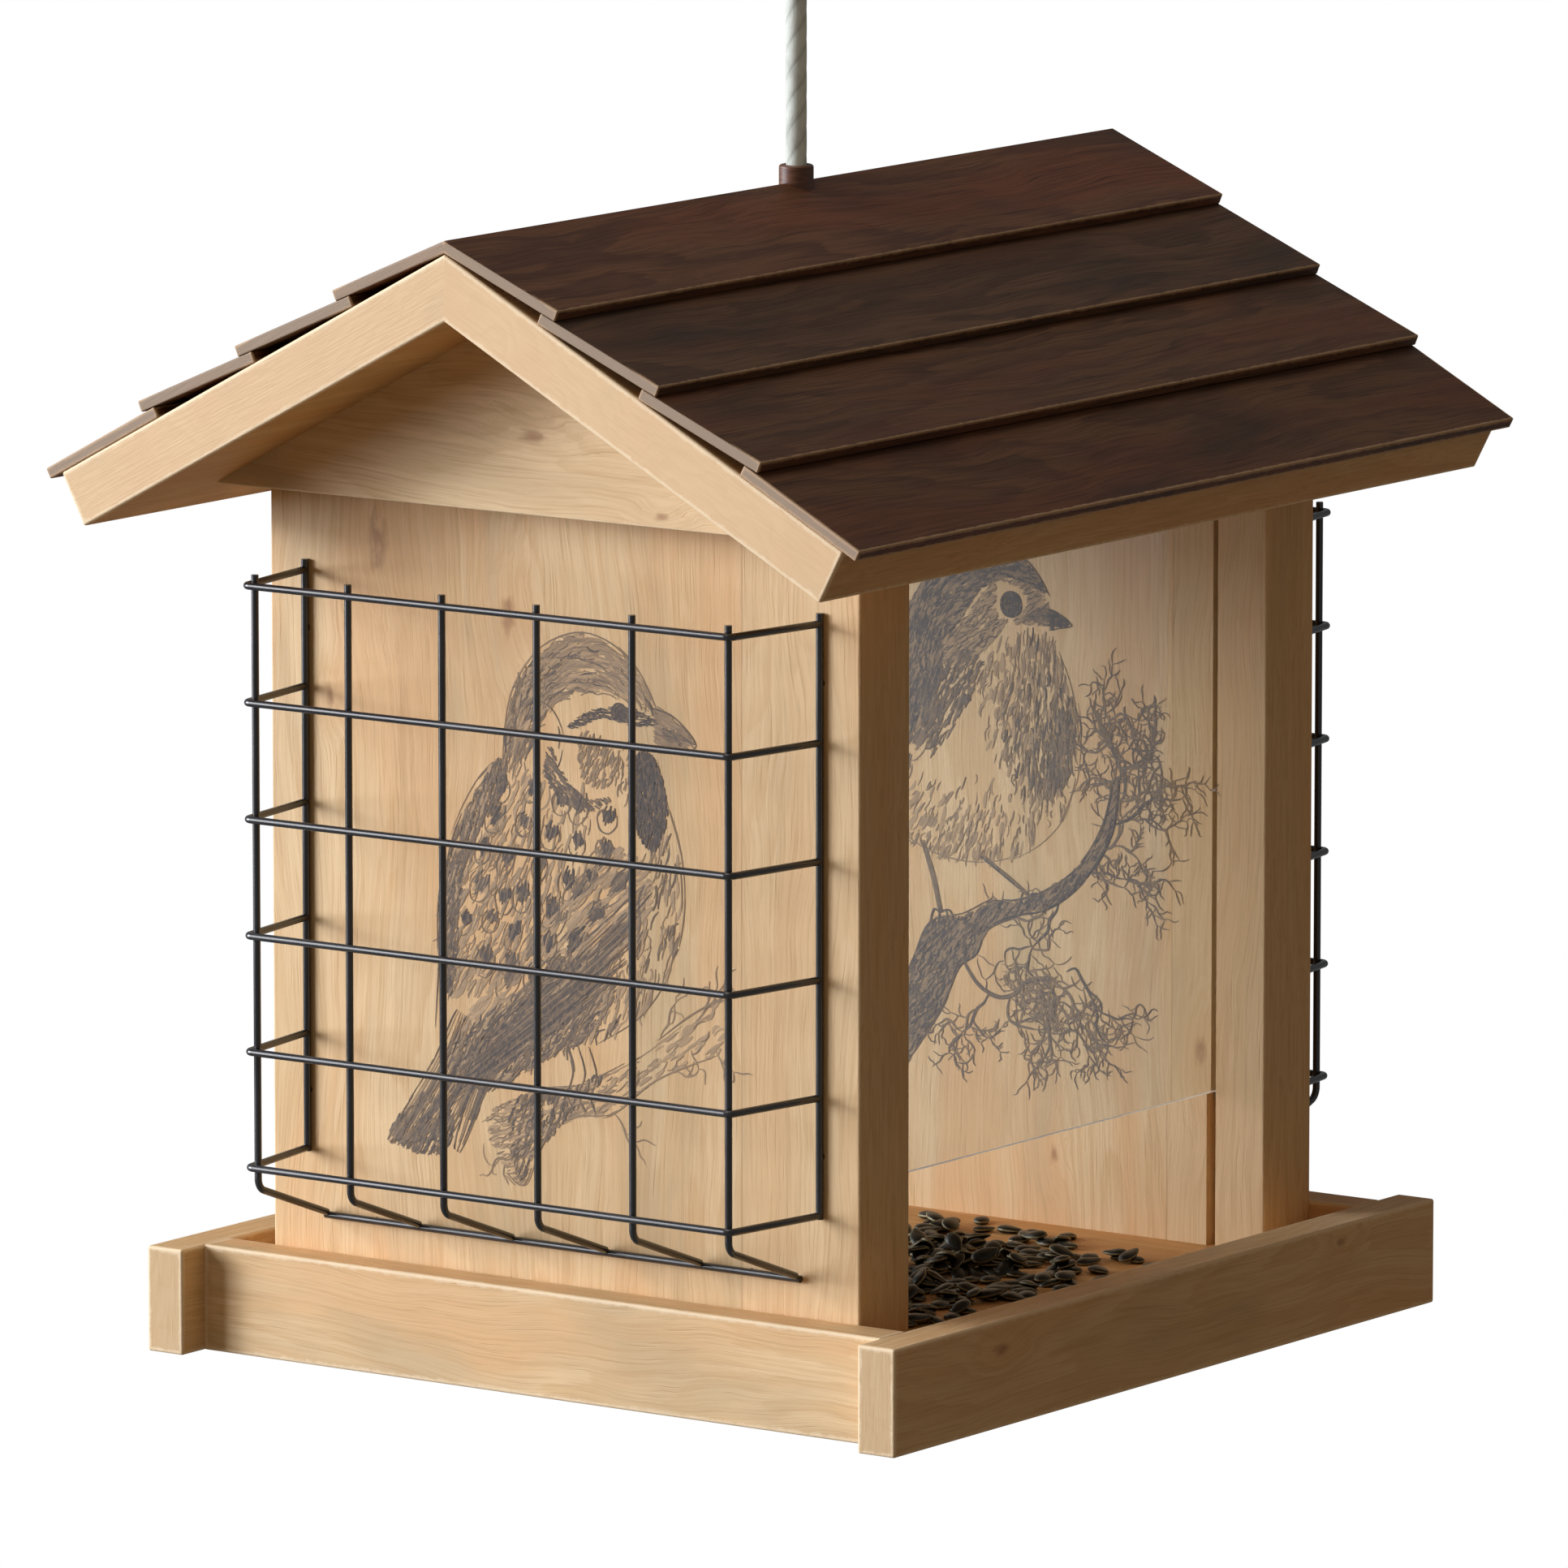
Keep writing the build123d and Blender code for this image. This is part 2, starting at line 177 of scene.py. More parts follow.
def add_knot():
    """An overhand stopper knot under the washer, with its short tail."""
    tight = (knot_high.x - knot_low.x) / 2 - rope_diameter / 2      # how far out its turns reach
    crown = knot_high.z - rope_diameter / 2
    drop = rope_diameter * 0.62                                     # height of one turn
    route = [(0.0, 0.0, 0.3 * drop), (0.0, 0.0, -0.6 * drop)]
    turns = 1.5
    steps = 14
    for step in range(steps + 1):
        angle = 2 * math.pi * turns * step / steps
        reach = tight * (0.55 + 0.45 * math.sin(math.pi * step / steps))
        height = -drop * (0.75 + 1.0 * step / steps - 0.55 * math.sin(angle * 1.5))
        route.append((reach * math.cos(angle), reach * math.sin(angle), height))
    tail = knot_low.z - crown
    route += [(0.0, 0.0, -2.2 * drop), (0.0, 0.0, tail * 0.82), (0.0, 0.0, tail)]
    placed = [(x, house_y + y, crown + z) for x, y, z in route]
    line = spline_points(placed, resolution=10)
    knot = swept_tube("rope_stopper_knot", line, laid_radius, sides=60)
    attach(knot, "house")
    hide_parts("rope_knot")
    return knot


# ---------------------------------------------------------------- seed
SEED_LENGTH = 6.6 * MM
SEED_WIDTH = 3.7 * MM
SEED_THICKNESS = 1.5 * MM
SEED_AROUND = 18            # points round a seed
SEED_RINGS = ((0.42, 0.96), (0.74, 0.74), (0.92, 0.40), (1.0, 0.0),
              (0.92, -0.40), (0.74, -0.74), (0.42, -0.96))      # shares of its half width and half thickness
SEED_COUNT = 760
SEED_SIZES = (0.86, 1.12)   # the smallest and the largest, as shares of the sizes above
STEEP_LONG, STEEP_WIDE = 0.55, 0.6      # greatest slope along and across a seed that leans on others
HEAP_X, HEAP_Y = 4.0, -4.0              # mm from the floor's middle to the heap's
HEAP_LONG, HEAP_WIDE = 94.0, 73.0       # mm from the heap's middle to where it has thinned out
DROP_LONG, DROP_WIDE = 84.0, 64.0       # mm each way from the floor's middle that seed may lie
HEAP_TOP = 4.6              # mm, no seed comes to rest higher
SETTLED = 0.62              # share of the floor under a seed that is no higher than the seed rests


def seed_shape():
    """Points, faces and rim weight of one sunflower seed lying flat, its point towards +X. The rim weight
    places the husk's painted highlight.
    """
    points = [Vector((0.0, 0.0, SEED_THICKNESS / 2))]
    rim = [0.0]
    for share, height in SEED_RINGS:
        for side in range(SEED_AROUND):
            angle = 2 * math.pi * side / SEED_AROUND
            taper = 1.2 * math.sin(angle / 2) ** 0.6
            x = share * SEED_LENGTH / 2 * math.cos(angle)
            y = share * SEED_WIDTH / 2 * math.sin(angle) * taper
            points.append(Vector((x, y, height * SEED_THICKNESS / 2 * (1 - 0.25 * math.cos(angle)))))
            rim.append(max(0.0, 1.0 - abs(height) * 2.2))
    points.append(Vector((0.0, 0.0, -SEED_THICKNESS / 2)))
    rim.append(0.0)
    faces = [(0, 1 + side, 1 + (side + 1) % SEED_AROUND) for side in range(SEED_AROUND)]
    for ring in range(len(SEED_RINGS) - 1):
        start = 1 + ring * SEED_AROUND
        for side in range(SEED_AROUND):
            beside = (side + 1) % SEED_AROUND
            faces.append((start + side, start + SEED_AROUND + side,
                          start + SEED_AROUND + beside, start + beside))
    last, bottom = 1 + (len(SEED_RINGS) - 1) * SEED_AROUND, len(points) - 1
    faces += [(last + (side + 1) % SEED_AROUND, last + side, bottom) for side in range(SEED_AROUND)]
    return points, faces, rim


def seed_density(x, y):
    """How likely seed lies at a place on the floor: a heap in the middle that thins outwards."""
    spread = math.hypot((x - HEAP_X) / HEAP_LONG, (y - HEAP_Y) / HEAP_WIDE)
    ragged = 0.16 * math.sin(x * 0.19 + 1.3) * math.cos(y * 0.15 - 0.7)
    return max(0.0, min(1.0, 1.5 * (0.98 + ragged - spread)))


def cells_under(x, y, turn, half_long, half_wide):
    """The 1 mm cells of the floor that a seed covers, each with its place along and across the seed."""
    cells = []
    for column in range(-4, 5):
        for row in range(-4, 5):
            along = column * math.cos(turn) + row * math.sin(turn)
            aside = -column * math.sin(turn) + row * math.cos(turn)
            if (along / half_long) ** 2 + (aside / half_wide) ** 2 <= 1.0:
                cells.append((round(x) + column, round(y) + row, along, aside))
    return cells


def slope(heights, places, ease):
    """How steeply the seed below rises along one direction."""
    rise = sum(height * place for height, place in zip(heights, places))
    return rise / sum(place ** 2 + ease for place in places)


def lying(x, y, height, turn, tilt_long, tilt_wide, size):
    """The matrix that lays a seed down at a height above the floor."""
    return (Matrix.Translation((x * MM, house_y + y * MM, floor_top + height * MM))
            @ Matrix.Rotation(turn, 4, "Z") @ Matrix.Rotation(-tilt_long, 4, "Y")
            @ Matrix.Rotation(tilt_wide, 4, "X") @ Matrix.Scale(size, 4))


def drop_seed(chance, heights, x, y):
    """How a seed dropped at a place comes to rest, or None if it would lie too high. It adds to heights."""
    size = chance.uniform(*SEED_SIZES)
    turn = chance.uniform(0.0, 2 * math.pi)
    half_long, half_wide = SEED_LENGTH / MM / 2 * size, SEED_WIDTH / MM / 2 * size
    cells = cells_under(x, y, turn, half_long, half_wide)
    under = [heights.get(cell[:2], 0.0) for cell in cells]
    rest = sorted(under)[int(len(under) * SETTLED)]
    lean_long = slope(under, [cell[2] for cell in cells], 0.0)
    lean_wide = slope(under, [cell[3] for cell in cells], 0.4)
    lean_long = max(-STEEP_LONG, min(STEEP_LONG, lean_long)) + chance.uniform(-0.05, 0.05)
    lean_wide = max(-STEEP_WIDE, min(STEEP_WIDE, lean_wide)) + chance.uniform(-0.07, 0.07)
    if rest > HEAP_TOP:
        return None
    flip = math.pi if chance.random() < 0.5 else 0.0
    thick = SEED_THICKNESS / MM * size
    for column, row, along, aside in cells:
        dome = 1.0 - 0.5 * ((along / half_long) ** 2 + (aside / half_wide) ** 2)
        top = rest + lean_long * along + lean_wide * aside + thick * dome
        heights[(column, row)] = max(heights.get((column, row), 0.0), top)
    return lying(x, y, rest + thick * 0.5, turn, math.atan(lean_long), math.atan(lean_wide) + flip, size)


def scatter_seed():
    """Seed dropped one by one on the floor inside the house, each on what already lies there."""
    chance = random.Random(11)
    shape, shape_faces, shape_rim = seed_shape()
    heights = {}
    points, faces, tones = [], [], []
    while len(points) < SEED_COUNT * len(shape):
        x, y = chance.uniform(-DROP_LONG, DROP_LONG), chance.uniform(-DROP_WIDE, DROP_WIDE)
        if chance.random() > seed_density(x, y):
            continue
        place = drop_seed(chance, heights, x, y)
        if place is None:
            continue
        first = len(points)
        points += [place @ point for point in shape]
        faces += [tuple(first + corner for corner in face) for face in shape_faces]
        tones += [chance.random()] * len(shape)
    seeds = mesh_object("sunflower_seeds", points, faces)
    # rim weight: where the husk's painted highlight goes on each seed
    add_attribute(seeds, "rim", shape_rim * SEED_COUNT)
    add_attribute(seeds, "tone", tones)
    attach(seeds, "house")
    return seeds


# ---------------------------------------------------------------- printed birds
INK_HEIGHT = 0.03           # mm that the ink stands proud of the wood
FINE, MEDIUM, BROAD = 0.30, 0.46, 0.80      # stroke widths in mm
FAINT, SOFT, FIRM, BLACK = 0.16, 0.5, 0.8, 1.0


def smooth_line(points, closed=False, per_span=5):
    """A Catmull-Rom line through points in mm."""
    count = len(points)
    line = []
    for index in range(count if closed else count - 1):
        if closed:
            a, b, c, d = (points[(index + step) % count] for step in (-1, 0, 1, 2))
        else:
            b, c = points[index], points[index + 1]
            a, d = points[max(index - 1, 0)], points[min(index + 2, count - 1)]
        for part in range(per_span):
            t = part / per_span
            line.append(tuple(0.5 * (2 * q + (r - p) * t + (2 * p - 5 * q + 4 * r - s) * t * t
                                     + (3 * q - p - 3 * r + s) * t ** 3)
                              for p, q, r, s in zip(a, b, c, d)))
    line.append(line[0] if closed else tuple(points[-1]))
    return line


def is_inside(u, v, loop):
    """True if a point is inside a closed line."""
    found = False
    for (u1, v1), (u2, v2) in zip(loop, loop[1:]):
        if (v1 > v) != (v2 > v) and u < (u2 - u1) * (v - v1) / (v2 - v1) + u1:
            found = not found
    return found


def step_aside(line, index, offset):
    """The place an offset to the left of a line at one of its points."""
    (u, v), before, after = line[index], line[max(index - 1, 0)], line[min(index + 1, len(line) - 1)]
    du, dv = after[0] - before[0], after[1] - before[1]
    run = math.hypot(du, dv) or 1.0
    return u - dv / run * offset, v + du / run * offset


def shifted(line, offset):
    """A line moved sideways by an offset in mm, which tapers away at both its ends."""
    moved = []
    for index in range(len(line)):
        taper = math.sin(math.pi * (0.12 + 0.84 * index / (len(line) - 1))) ** 0.5
        moved.append(step_aside(line, index, offset * taper))
    return moved


class Sketch:
    """Pencil drawing on a wall, made of thin tapered ribbons. Places are mm across and up, face on."""

    def __init__(self, seed):
        self.chance = random.Random(seed)
        self.points, self.faces, self.tones = [], [], []

    def stroke(self, line, width, tone):
        """One stroke along a line, tapered at both ends."""
        if len(line) < 2:
            return
        height = INK_HEIGHT + 0.05 * self.chance.random() + 0.04 * tone
        shade = max(0.0, min(1.0, tone + self.chance.uniform(-0.16, 0.16)))
        first = len(self.points)
        for index in range(len(line)):
            swell = math.sin(math.pi * (index + 0.4) / (len(line) - 0.2)) ** 0.7
            half = width / 2 * (0.12 + 0.88 * swell)
            for side in (half, -half):
                self.points.append((*step_aside(line, index, side), height))
                self.tones.append(shade)
        for index in range(len(line) - 1):
            corner = first + 2 * index
            self.faces.append((corner, corner + 1, corner + 3, corner + 2))

    def contour(self, points, width, tone, closed=False, wander=0.22):
        """A drawn edge: short strokes that overlap and wander a little."""
        line = smooth_line(points, closed)
        start = 0
        while start < len(line) - 2:
            length = self.chance.randint(5, 12)
            du, dv = self.chance.gauss(0, wander), self.chance.gauss(0, wander)
            self.stroke([(u + du, v + dv) for u, v in line[start:start + length]],
                        width * self.chance.uniform(0.6, 1.3), tone)
            start += max(2, int(length * self.chance.uniform(0.5, 0.8)))

    def dot(self, centre, radius, tone):
        """A round spot, drawn as rings."""
        size = radius
        while size > 0.2:
            self.contour([(centre[0] + size * math.cos(math.radians(angle)),
                           centre[1] + size * math.sin(math.radians(angle))) for angle in range(0, 360, 45)],
                         MEDIUM, tone, closed=True, wander=0.03)
            size -= 0.4

    def hatch(self, outline, step, length, heading, cover, width, tone, ragged=False):
        """Strokes inside an outline, or just past it where it's ragged. heading (degrees) and cover
        (0 to 1) are each a number, or the value at the middle and its change for each mm across and up."""
        heading, cover = (value if isinstance(value, tuple) else (value, 0, 0) for value in (heading, cover))
        loop = smooth_line(outline, closed=True, per_span=3)
        us, vs = [u for u, v in loop], [v for u, v in loop]
        mid_u, mid_v = (min(us) + max(us)) / 2, (min(vs) + max(vs)) / 2
        for row in range(int((max(vs) - min(vs)) / step) + 1):
            for column in range(int((max(us) - min(us)) / step) + 1):
                at_u = min(us) + (column + self.chance.uniform(-0.6, 0.6)) * step
                at_v = min(vs) + (row + self.chance.uniform(-0.6, 0.6)) * step
                off_u, off_v = at_u - mid_u, at_v - mid_v
                wanted = cover[0] + cover[1] * off_u + cover[2] * off_v
                if self.chance.random() > wanted or not is_inside(at_u, at_v, loop):
                    continue
                angle = math.radians(heading[0] + heading[1] * off_u + heading[2] * off_v
                                     + self.chance.gauss(0, 7))
                bend = self.chance.gauss(0, 0.5)
                reach = length * self.chance.uniform(0.6, 1.25)
                line = [(at_u + math.cos(angle + bend * part) * part * reach,
                         at_v + math.sin(angle + bend * part) * part * reach)
                        for part in (-0.5, -0.17, 0.17, 0.5)]
                self.stroke([point for point in line if ragged or is_inside(*point, loop)],
                            width * self.chance.uniform(0.6, 1.3), tone)

    def feather(self, root, heading, length, width, tone):
        """A rounded feather: pale rim, dark middle hatched along its shaft."""
        angle = math.radians(heading)
        ahead, aside = (math.cos(angle), math.sin(angle)), (-math.sin(angle), math.cos(angle))

        def at(run, off):
            return (root[0] + ahead[0] * run + aside[0] * off, root[1] + ahead[1] * run + aside[1] * off)

        rim = ((0.30, -0.42), (0.62, -0.5), (0.92, -0.28), (1.0, 0.0),
               (0.92, 0.28), (0.62, 0.5), (0.30, 0.42))
        self.contour([at(run * length, off * width) for run, off in rim], FINE, tone * 0.7, wander=0.1)
        lines = max(3, int(width / 0.5))
        for index in range(lines):
            off = (index + 0.5) / lines - 0.5
            end = length * (0.80 - 1.3 * off * off) * self.chance.uniform(0.75, 1.0)
            begin = length * self.chance.uniform(0.05, 0.35)
            self.stroke([at(begin, off * width * 0.5), at((begin + end) / 2, off * width * 0.75),
                         at(end, off * width * 0.6)], MEDIUM, tone * self.chance.uniform(0.8, 1.05))

    def quill(self, points, width, tone):
        """A long flight or tail feather: two edges, a shaft, a dark side and a faint side."""
        line = smooth_line(points)
        for share, depth in ((-0.5, 0.9), (0.5, 0.9), (0.05, 0.6)):
            self.contour(shifted(line, share * width), FINE, tone * depth, wander=0.08)
        for share, depth in ((0.42, 1.0), (0.33, 1.0), (0.24, 0.9), (0.14, 0.7), (-0.12, 0.4), (-0.3, 0.35)):
            side = shifted(line, share * width)
            start, stop = self.chance.randint(0, 3), len(side) - self.chance.randint(0, 3)
            self.stroke(side[start:stop], MEDIUM * self.chance.uniform(0.6, 1.0), tone * depth)

    def twig(self, start, heading, length, width, tone, forks):
        """A crooked twig that forks into thinner ones."""
        u, v = start
        line = [start]
        for _ in range(5):
            heading += self.chance.gauss(0, 26)
            u += math.cos(math.radians(heading)) * length / 5
            v += math.sin(math.radians(heading)) * length / 5
            line.append((u, v))
        self.stroke(smooth_line(line, per_span=3), width, tone)
        if forks == 0:
            return
        for knee, turn in ((2, -1), (3, 1), (5, -1), (5, 1)):
            self.twig(line[knee], heading + turn * self.chance.uniform(20, 52),
                      length * self.chance.uniform(0.55, 0.78), width * 0.74, tone * 0.94, forks - 1)

    def print_on(self, name, face_y, outward):
        """Turn the drawing into a mesh on a wall's face. outward is -1 for a face that looks to -Y."""
        placed = [(-outward * u * MM, house_y + (face_y + outward * height) * MM, v * MM)
                  for u, v, height in self.points]
        made = mesh_object(name, placed, self.faces, smooth=False)
        add_attribute(made, "tone", self.tones)
        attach(made, "house")
        return made


def streaked_head(s):
    """Cap, eye line, pale cheek, stout bill and dark bib, looking right."""
    crown = [(-15, 138), (-13, 150), (-6, 160), (4, 165), (13, 163.5), (20, 158), (25, 151),
             (18, 152), (9, 153), (1, 151), (-5, 146), (-8, 139)]
    s.hatch(crown, 1.1, 5.0, (190, -3.5, 0), 0.6, BROAD, FAINT)
    s.hatch(crown, 0.85, 5.5, (190, -3.5, 0), 0.5, FINE, SOFT, ragged=True)
    s.hatch(crown, 1.2, 4.4, (190, -3.5, 0), (0.34, -0.014, -0.02), MEDIUM, FIRM, ragged=True)
    eye_line = [(26, 147.6), (20, 150.4), (13, 150.4), (6, 148.4), (1, 144.4), (5, 145), (11, 147.6),
                (18, 146.6)]
    s.hatch(eye_line, 0.55, 2.6, 180, 0.75, FINE, BLACK)
    s.contour([(-8, 150), (-3, 148), (0, 143), (-1, 137), (-5, 134)], FINE, FIRM, wander=0.4)
    s.hatch([(5, 144), (12, 143), (15, 137), (11, 132), (5, 134)], 0.8, 2.6, 245, 0.6, MEDIUM, SOFT)
    s.hatch([(-3, 141), (1, 134), (7, 130), (14, 131), (9, 127), (1, 128), (-5, 134)],
            0.7, 3.0, 320, 0.6, MEDIUM, FIRM)
    bib = [(24, 141), (27, 135), (28, 127), (24, 119), (19, 125), (18.5, 134), (20, 141)]
    s.hatch(bib, 0.55, 3.2, 262, (0.85, 0, 0.02), MEDIUM, BLACK)
    s.hatch([(19, 143), (20, 134), (17, 128), (14, 133), (15, 141)], 0.9, 2.8, 255, 0.4, FINE, SOFT)
    bill = [(24, 151), (29.5, 149.6), (35.5, 144), (30, 142), (25, 141.6)]
    s.hatch(bill, 0.7, 3.6, 154, 0.8, MEDIUM, SOFT)
    s.hatch([(25, 146.5), (29, 147), (35, 144.2), (29, 144)], 0.5, 3.0, 165, 0.8, FINE, FIRM)
    s.contour(bill, FINE, FIRM, wander=0.1)
    s.contour([(24.6, 145.4), (30, 145), (35.4, 144.1)], FINE, BLACK, wander=0.05)
    s.contour([(-16, 136), (-14, 150), (-6.5, 160.6), (4, 165.5), (13.5, 164), (20.5, 158.4), (25, 151)],
              FINE, SOFT)
    s.dot((15.2, 149.2), 1.9, BLACK)


def streaked_body(s):
    """Mottled back, its shaded left edge, pale breast and dark belly."""
    back = [(-15, 137), (-4, 131), (8, 130), (17, 122), (10, 110), (-4, 98), (-16, 88), (-31, 84),
            (-32, 104), (-28, 119), (-22, 130)]
    s.hatch(back, 1.4, 5.0, (248, 0.7, 0), (0.25, -0.010, 0), BROAD, FAINT, ragged=True)
    s.hatch(back, 1.3, 4.5, (248, 0.7, 0), (0.22, -0.012, 0), FINE, SOFT, ragged=True)
    shaded_edge = [(-15, 138), (-22, 130), (-29, 118), (-32.5, 104), (-32.5, 86), (-29, 84), (-27, 104),
                   (-23, 118), (-15, 130)]
    s.hatch(shaded_edge, 0.85, 4.5, 252, 0.7, MEDIUM, FIRM)
    for row in range(6):
        for column in range(5 - row // 3):
            root = (-13 + 6.6 * column - 2.7 * row + s.chance.gauss(0, 0.9),
                    134 - 7.2 * row - 1.2 * column + s.chance.gauss(0, 0.9))
            s.feather(root, 242 + 4 * column + s.chance.gauss(0, 6), s.chance.uniform(6.5, 8.5),
                      s.chance.uniform(3.8, 5.2), BLACK)
    breast = [(27, 124), (31, 116), (31.5, 104), (27, 92), (18, 82), (6, 78), (12, 94), (19, 106), (21, 118)]
    s.hatch(breast, 1.5, 4.6, (252, 0.6, 0), (0.2, 0, -0.006), BROAD, FAINT, ragged=True)
    s.hatch(breast, 1.4, 4.6, (252, 0.6, 0), (0.24, 0.010, -0.006), FINE, SOFT, ragged=True)
    s.hatch(breast, 2.4, 5.0, (250, 0.6, 0), (0.30, 0.012, -0.004), MEDIUM, FIRM, ragged=True)
    belly = [(14, 90), (8, 79), (-4, 72), (-20, 64), (-30, 70), (-20, 80), (-6, 90), (6, 96)]
    s.hatch(belly, 1.2, 4.5, 228, 0.6, BROAD, FAINT)
    s.hatch(belly, 0.9, 4.2, 228, (0.58, -0.004, -0.010), MEDIUM, FIRM, ragged=True)
    s.contour([(25.5, 140), (28, 131), (31.5, 120), (32.3, 108), (29, 95), (21, 84), (10, 77)],
              FINE, SOFT, wander=0.4)
    s.contour([(-16, 137), (-23, 130), (-29.5, 118), (-32.5, 104), (-33, 90), (-34, 76)],
              FINE, FIRM, wander=0.35)


def streaked_wing(s):
    """Two rows of wing coverts, long flight feathers and the tail, sweeping down to the left."""
    wing = [(22, 118), (24, 108), (10, 92), (-8, 78), (-27, 66), (-30, 74), (-14, 92), (2, 108), (12, 120)]
    s.hatch(wing, 1.2, 5.0, 222, 0.5, BROAD, FAINT)
    for index in range(5):
        s.feather((14 - 6.2 * index, 121 - 6.8 * index), 230 + 2 * index, 11.5, 5.4, FIRM)
        s.feather((19 - 6.0 * index, 116 - 6.6 * index), 225 + 2 * index, 13.0, 5.2, FIRM + 0.14)
    for index in range(6):
        drop = 3.9 * index
        s.quill([(23 - 1.6 * index, 112 - drop), (8 - 2.4 * index, 98 - drop),
                 (-9 - 2.6 * index, 84 - 0.9 * drop), (-25 - 1.2 * index, 71 - 0.6 * drop)],
                3.7 - 0.16 * index, FIRM + 0.14)
    for index in range(5):
        across = 2.4 * index
        s.quill([(-27 + across, 80 - 0.5 * across), (-34 + 1.15 * across, 66 - 0.35 * across),
                 (-46.5 + 1.9 * across, 51 - 0.8 * abs(index - 2))], 3.8, FIRM + 0.1)
    s.hatch([(-47, 51), (-40, 47.5), (-31, 49), (-29, 58), (-36, 62), (-42, 58)], 0.9, 4.5, 236,
            (0.7, 0, -0.03), MEDIUM, FIRM)


def broken_branch(s):
    """The loosely drawn broken branch under the streaked bird, and the toes on it."""
    bough = [(-21, 57), (-8, 65), (6, 68), (20, 75), (34, 85), (43, 90),
             (42, 78), (26, 71), (14, 62), (4, 60), (-5, 55), (-10, 44), (-15, 46)]
    s.hatch(bough, 1.4, 4.0, (26, 0.5, 0), (0.4, -0.006, 0), BROAD, FAINT)
    s.hatch(bough, 1.1, 3.4, (30, 0.5, 0), (0.42, -0.008, -0.01), FINE, SOFT)
    s.hatch([(-14, 62), (0, 66), (12, 71), (4, 62), (-5, 53), (-12, 44)], 0.9, 3.2, 64, 0.6, MEDIUM, FIRM)
    s.contour(bough[:6], FINE, SOFT, wander=0.5)
    s.contour(bough[6:], FINE, SOFT, wander=0.5)
    starts = (((26, 80), 62, 9), ((35, 84), 30, 9), ((38, 87), 70, 8), ((14, 62), -58, 8),
              ((30, 73), -40, 7), ((-12, 50), 215, 8), ((40, 79), -20, 7))
    for start, heading, length in starts:
        s.twig(start, heading, length, MEDIUM, SOFT, forks=1)
    for offset in (-3.0, 0.0, 3.0):
        s.contour([(4 + offset, 76), (6 + offset, 70), (4.5 + offset, 65), (6 + offset, 61.5)],
                  MEDIUM, FIRM, wander=0.1)


def round_head(s):
    """Dark cap and mask round a big eye, with a fine bill, looking right."""
    cap = [(19, 156), (14, 162.5), (4, 166.5), (-7, 164.5), (-15, 156), (-21, 147),
           (-12, 143), (-5, 148), (1, 156), (10, 159)]
    s.hatch(cap, 0.9, 3.4, (205, -2.6, 0), 1.0, BROAD, SOFT)
    s.hatch(cap, 0.7, 2.8, (205, -2.6, 0), (0.66, 0, 0.01), MEDIUM, BLACK)
    behind_eye = [(5, 158), (2, 156), (-5, 148), (-13, 142), (-8, 137), (0, 141), (8, 149),
                  (5.6, 150.6), (5.2, 153.8)]
    before_eye = [(19, 155), (14, 158.6), (6, 158.4), (11.6, 156.4), (12.6, 152.6), (9, 149),
                  (14, 149), (19, 149)]
    for part in (behind_eye, before_eye):
        s.hatch(part, 1.0, 2.8, 210, 0.9, BROAD, FAINT)
        s.hatch(part, 0.85, 2.4, 215, (0.62, -0.008, 0.01), FINE, FIRM)
    s.hatch([(19, 153.6), (15, 152.6), (13, 150.8), (16, 149.6), (19.5, 149)],
            0.55, 2.0, 180, 0.8, MEDIUM, FIRM)
    bill = [(18.8, 153.0), (22.0, 152.0), (25.2, 150.0), (22.0, 149.0), (19.2, 148.4)]
    s.hatch(bill, 0.5, 2.6, 168, 0.95, MEDIUM, BLACK)
    s.contour(bill, FINE, BLACK, wander=0.06)
    for _ in range(2):
        s.dot((8.9, 153.2), 2.8, BLACK)
    nape = [(19.5, 156), (14, 163), (4, 167), (-7, 165), (-15, 157), (-21, 148), (-30, 140), (-38, 128),
            (-42, 114)]
    s.contour(nape, FINE, FIRM, wander=0.3)


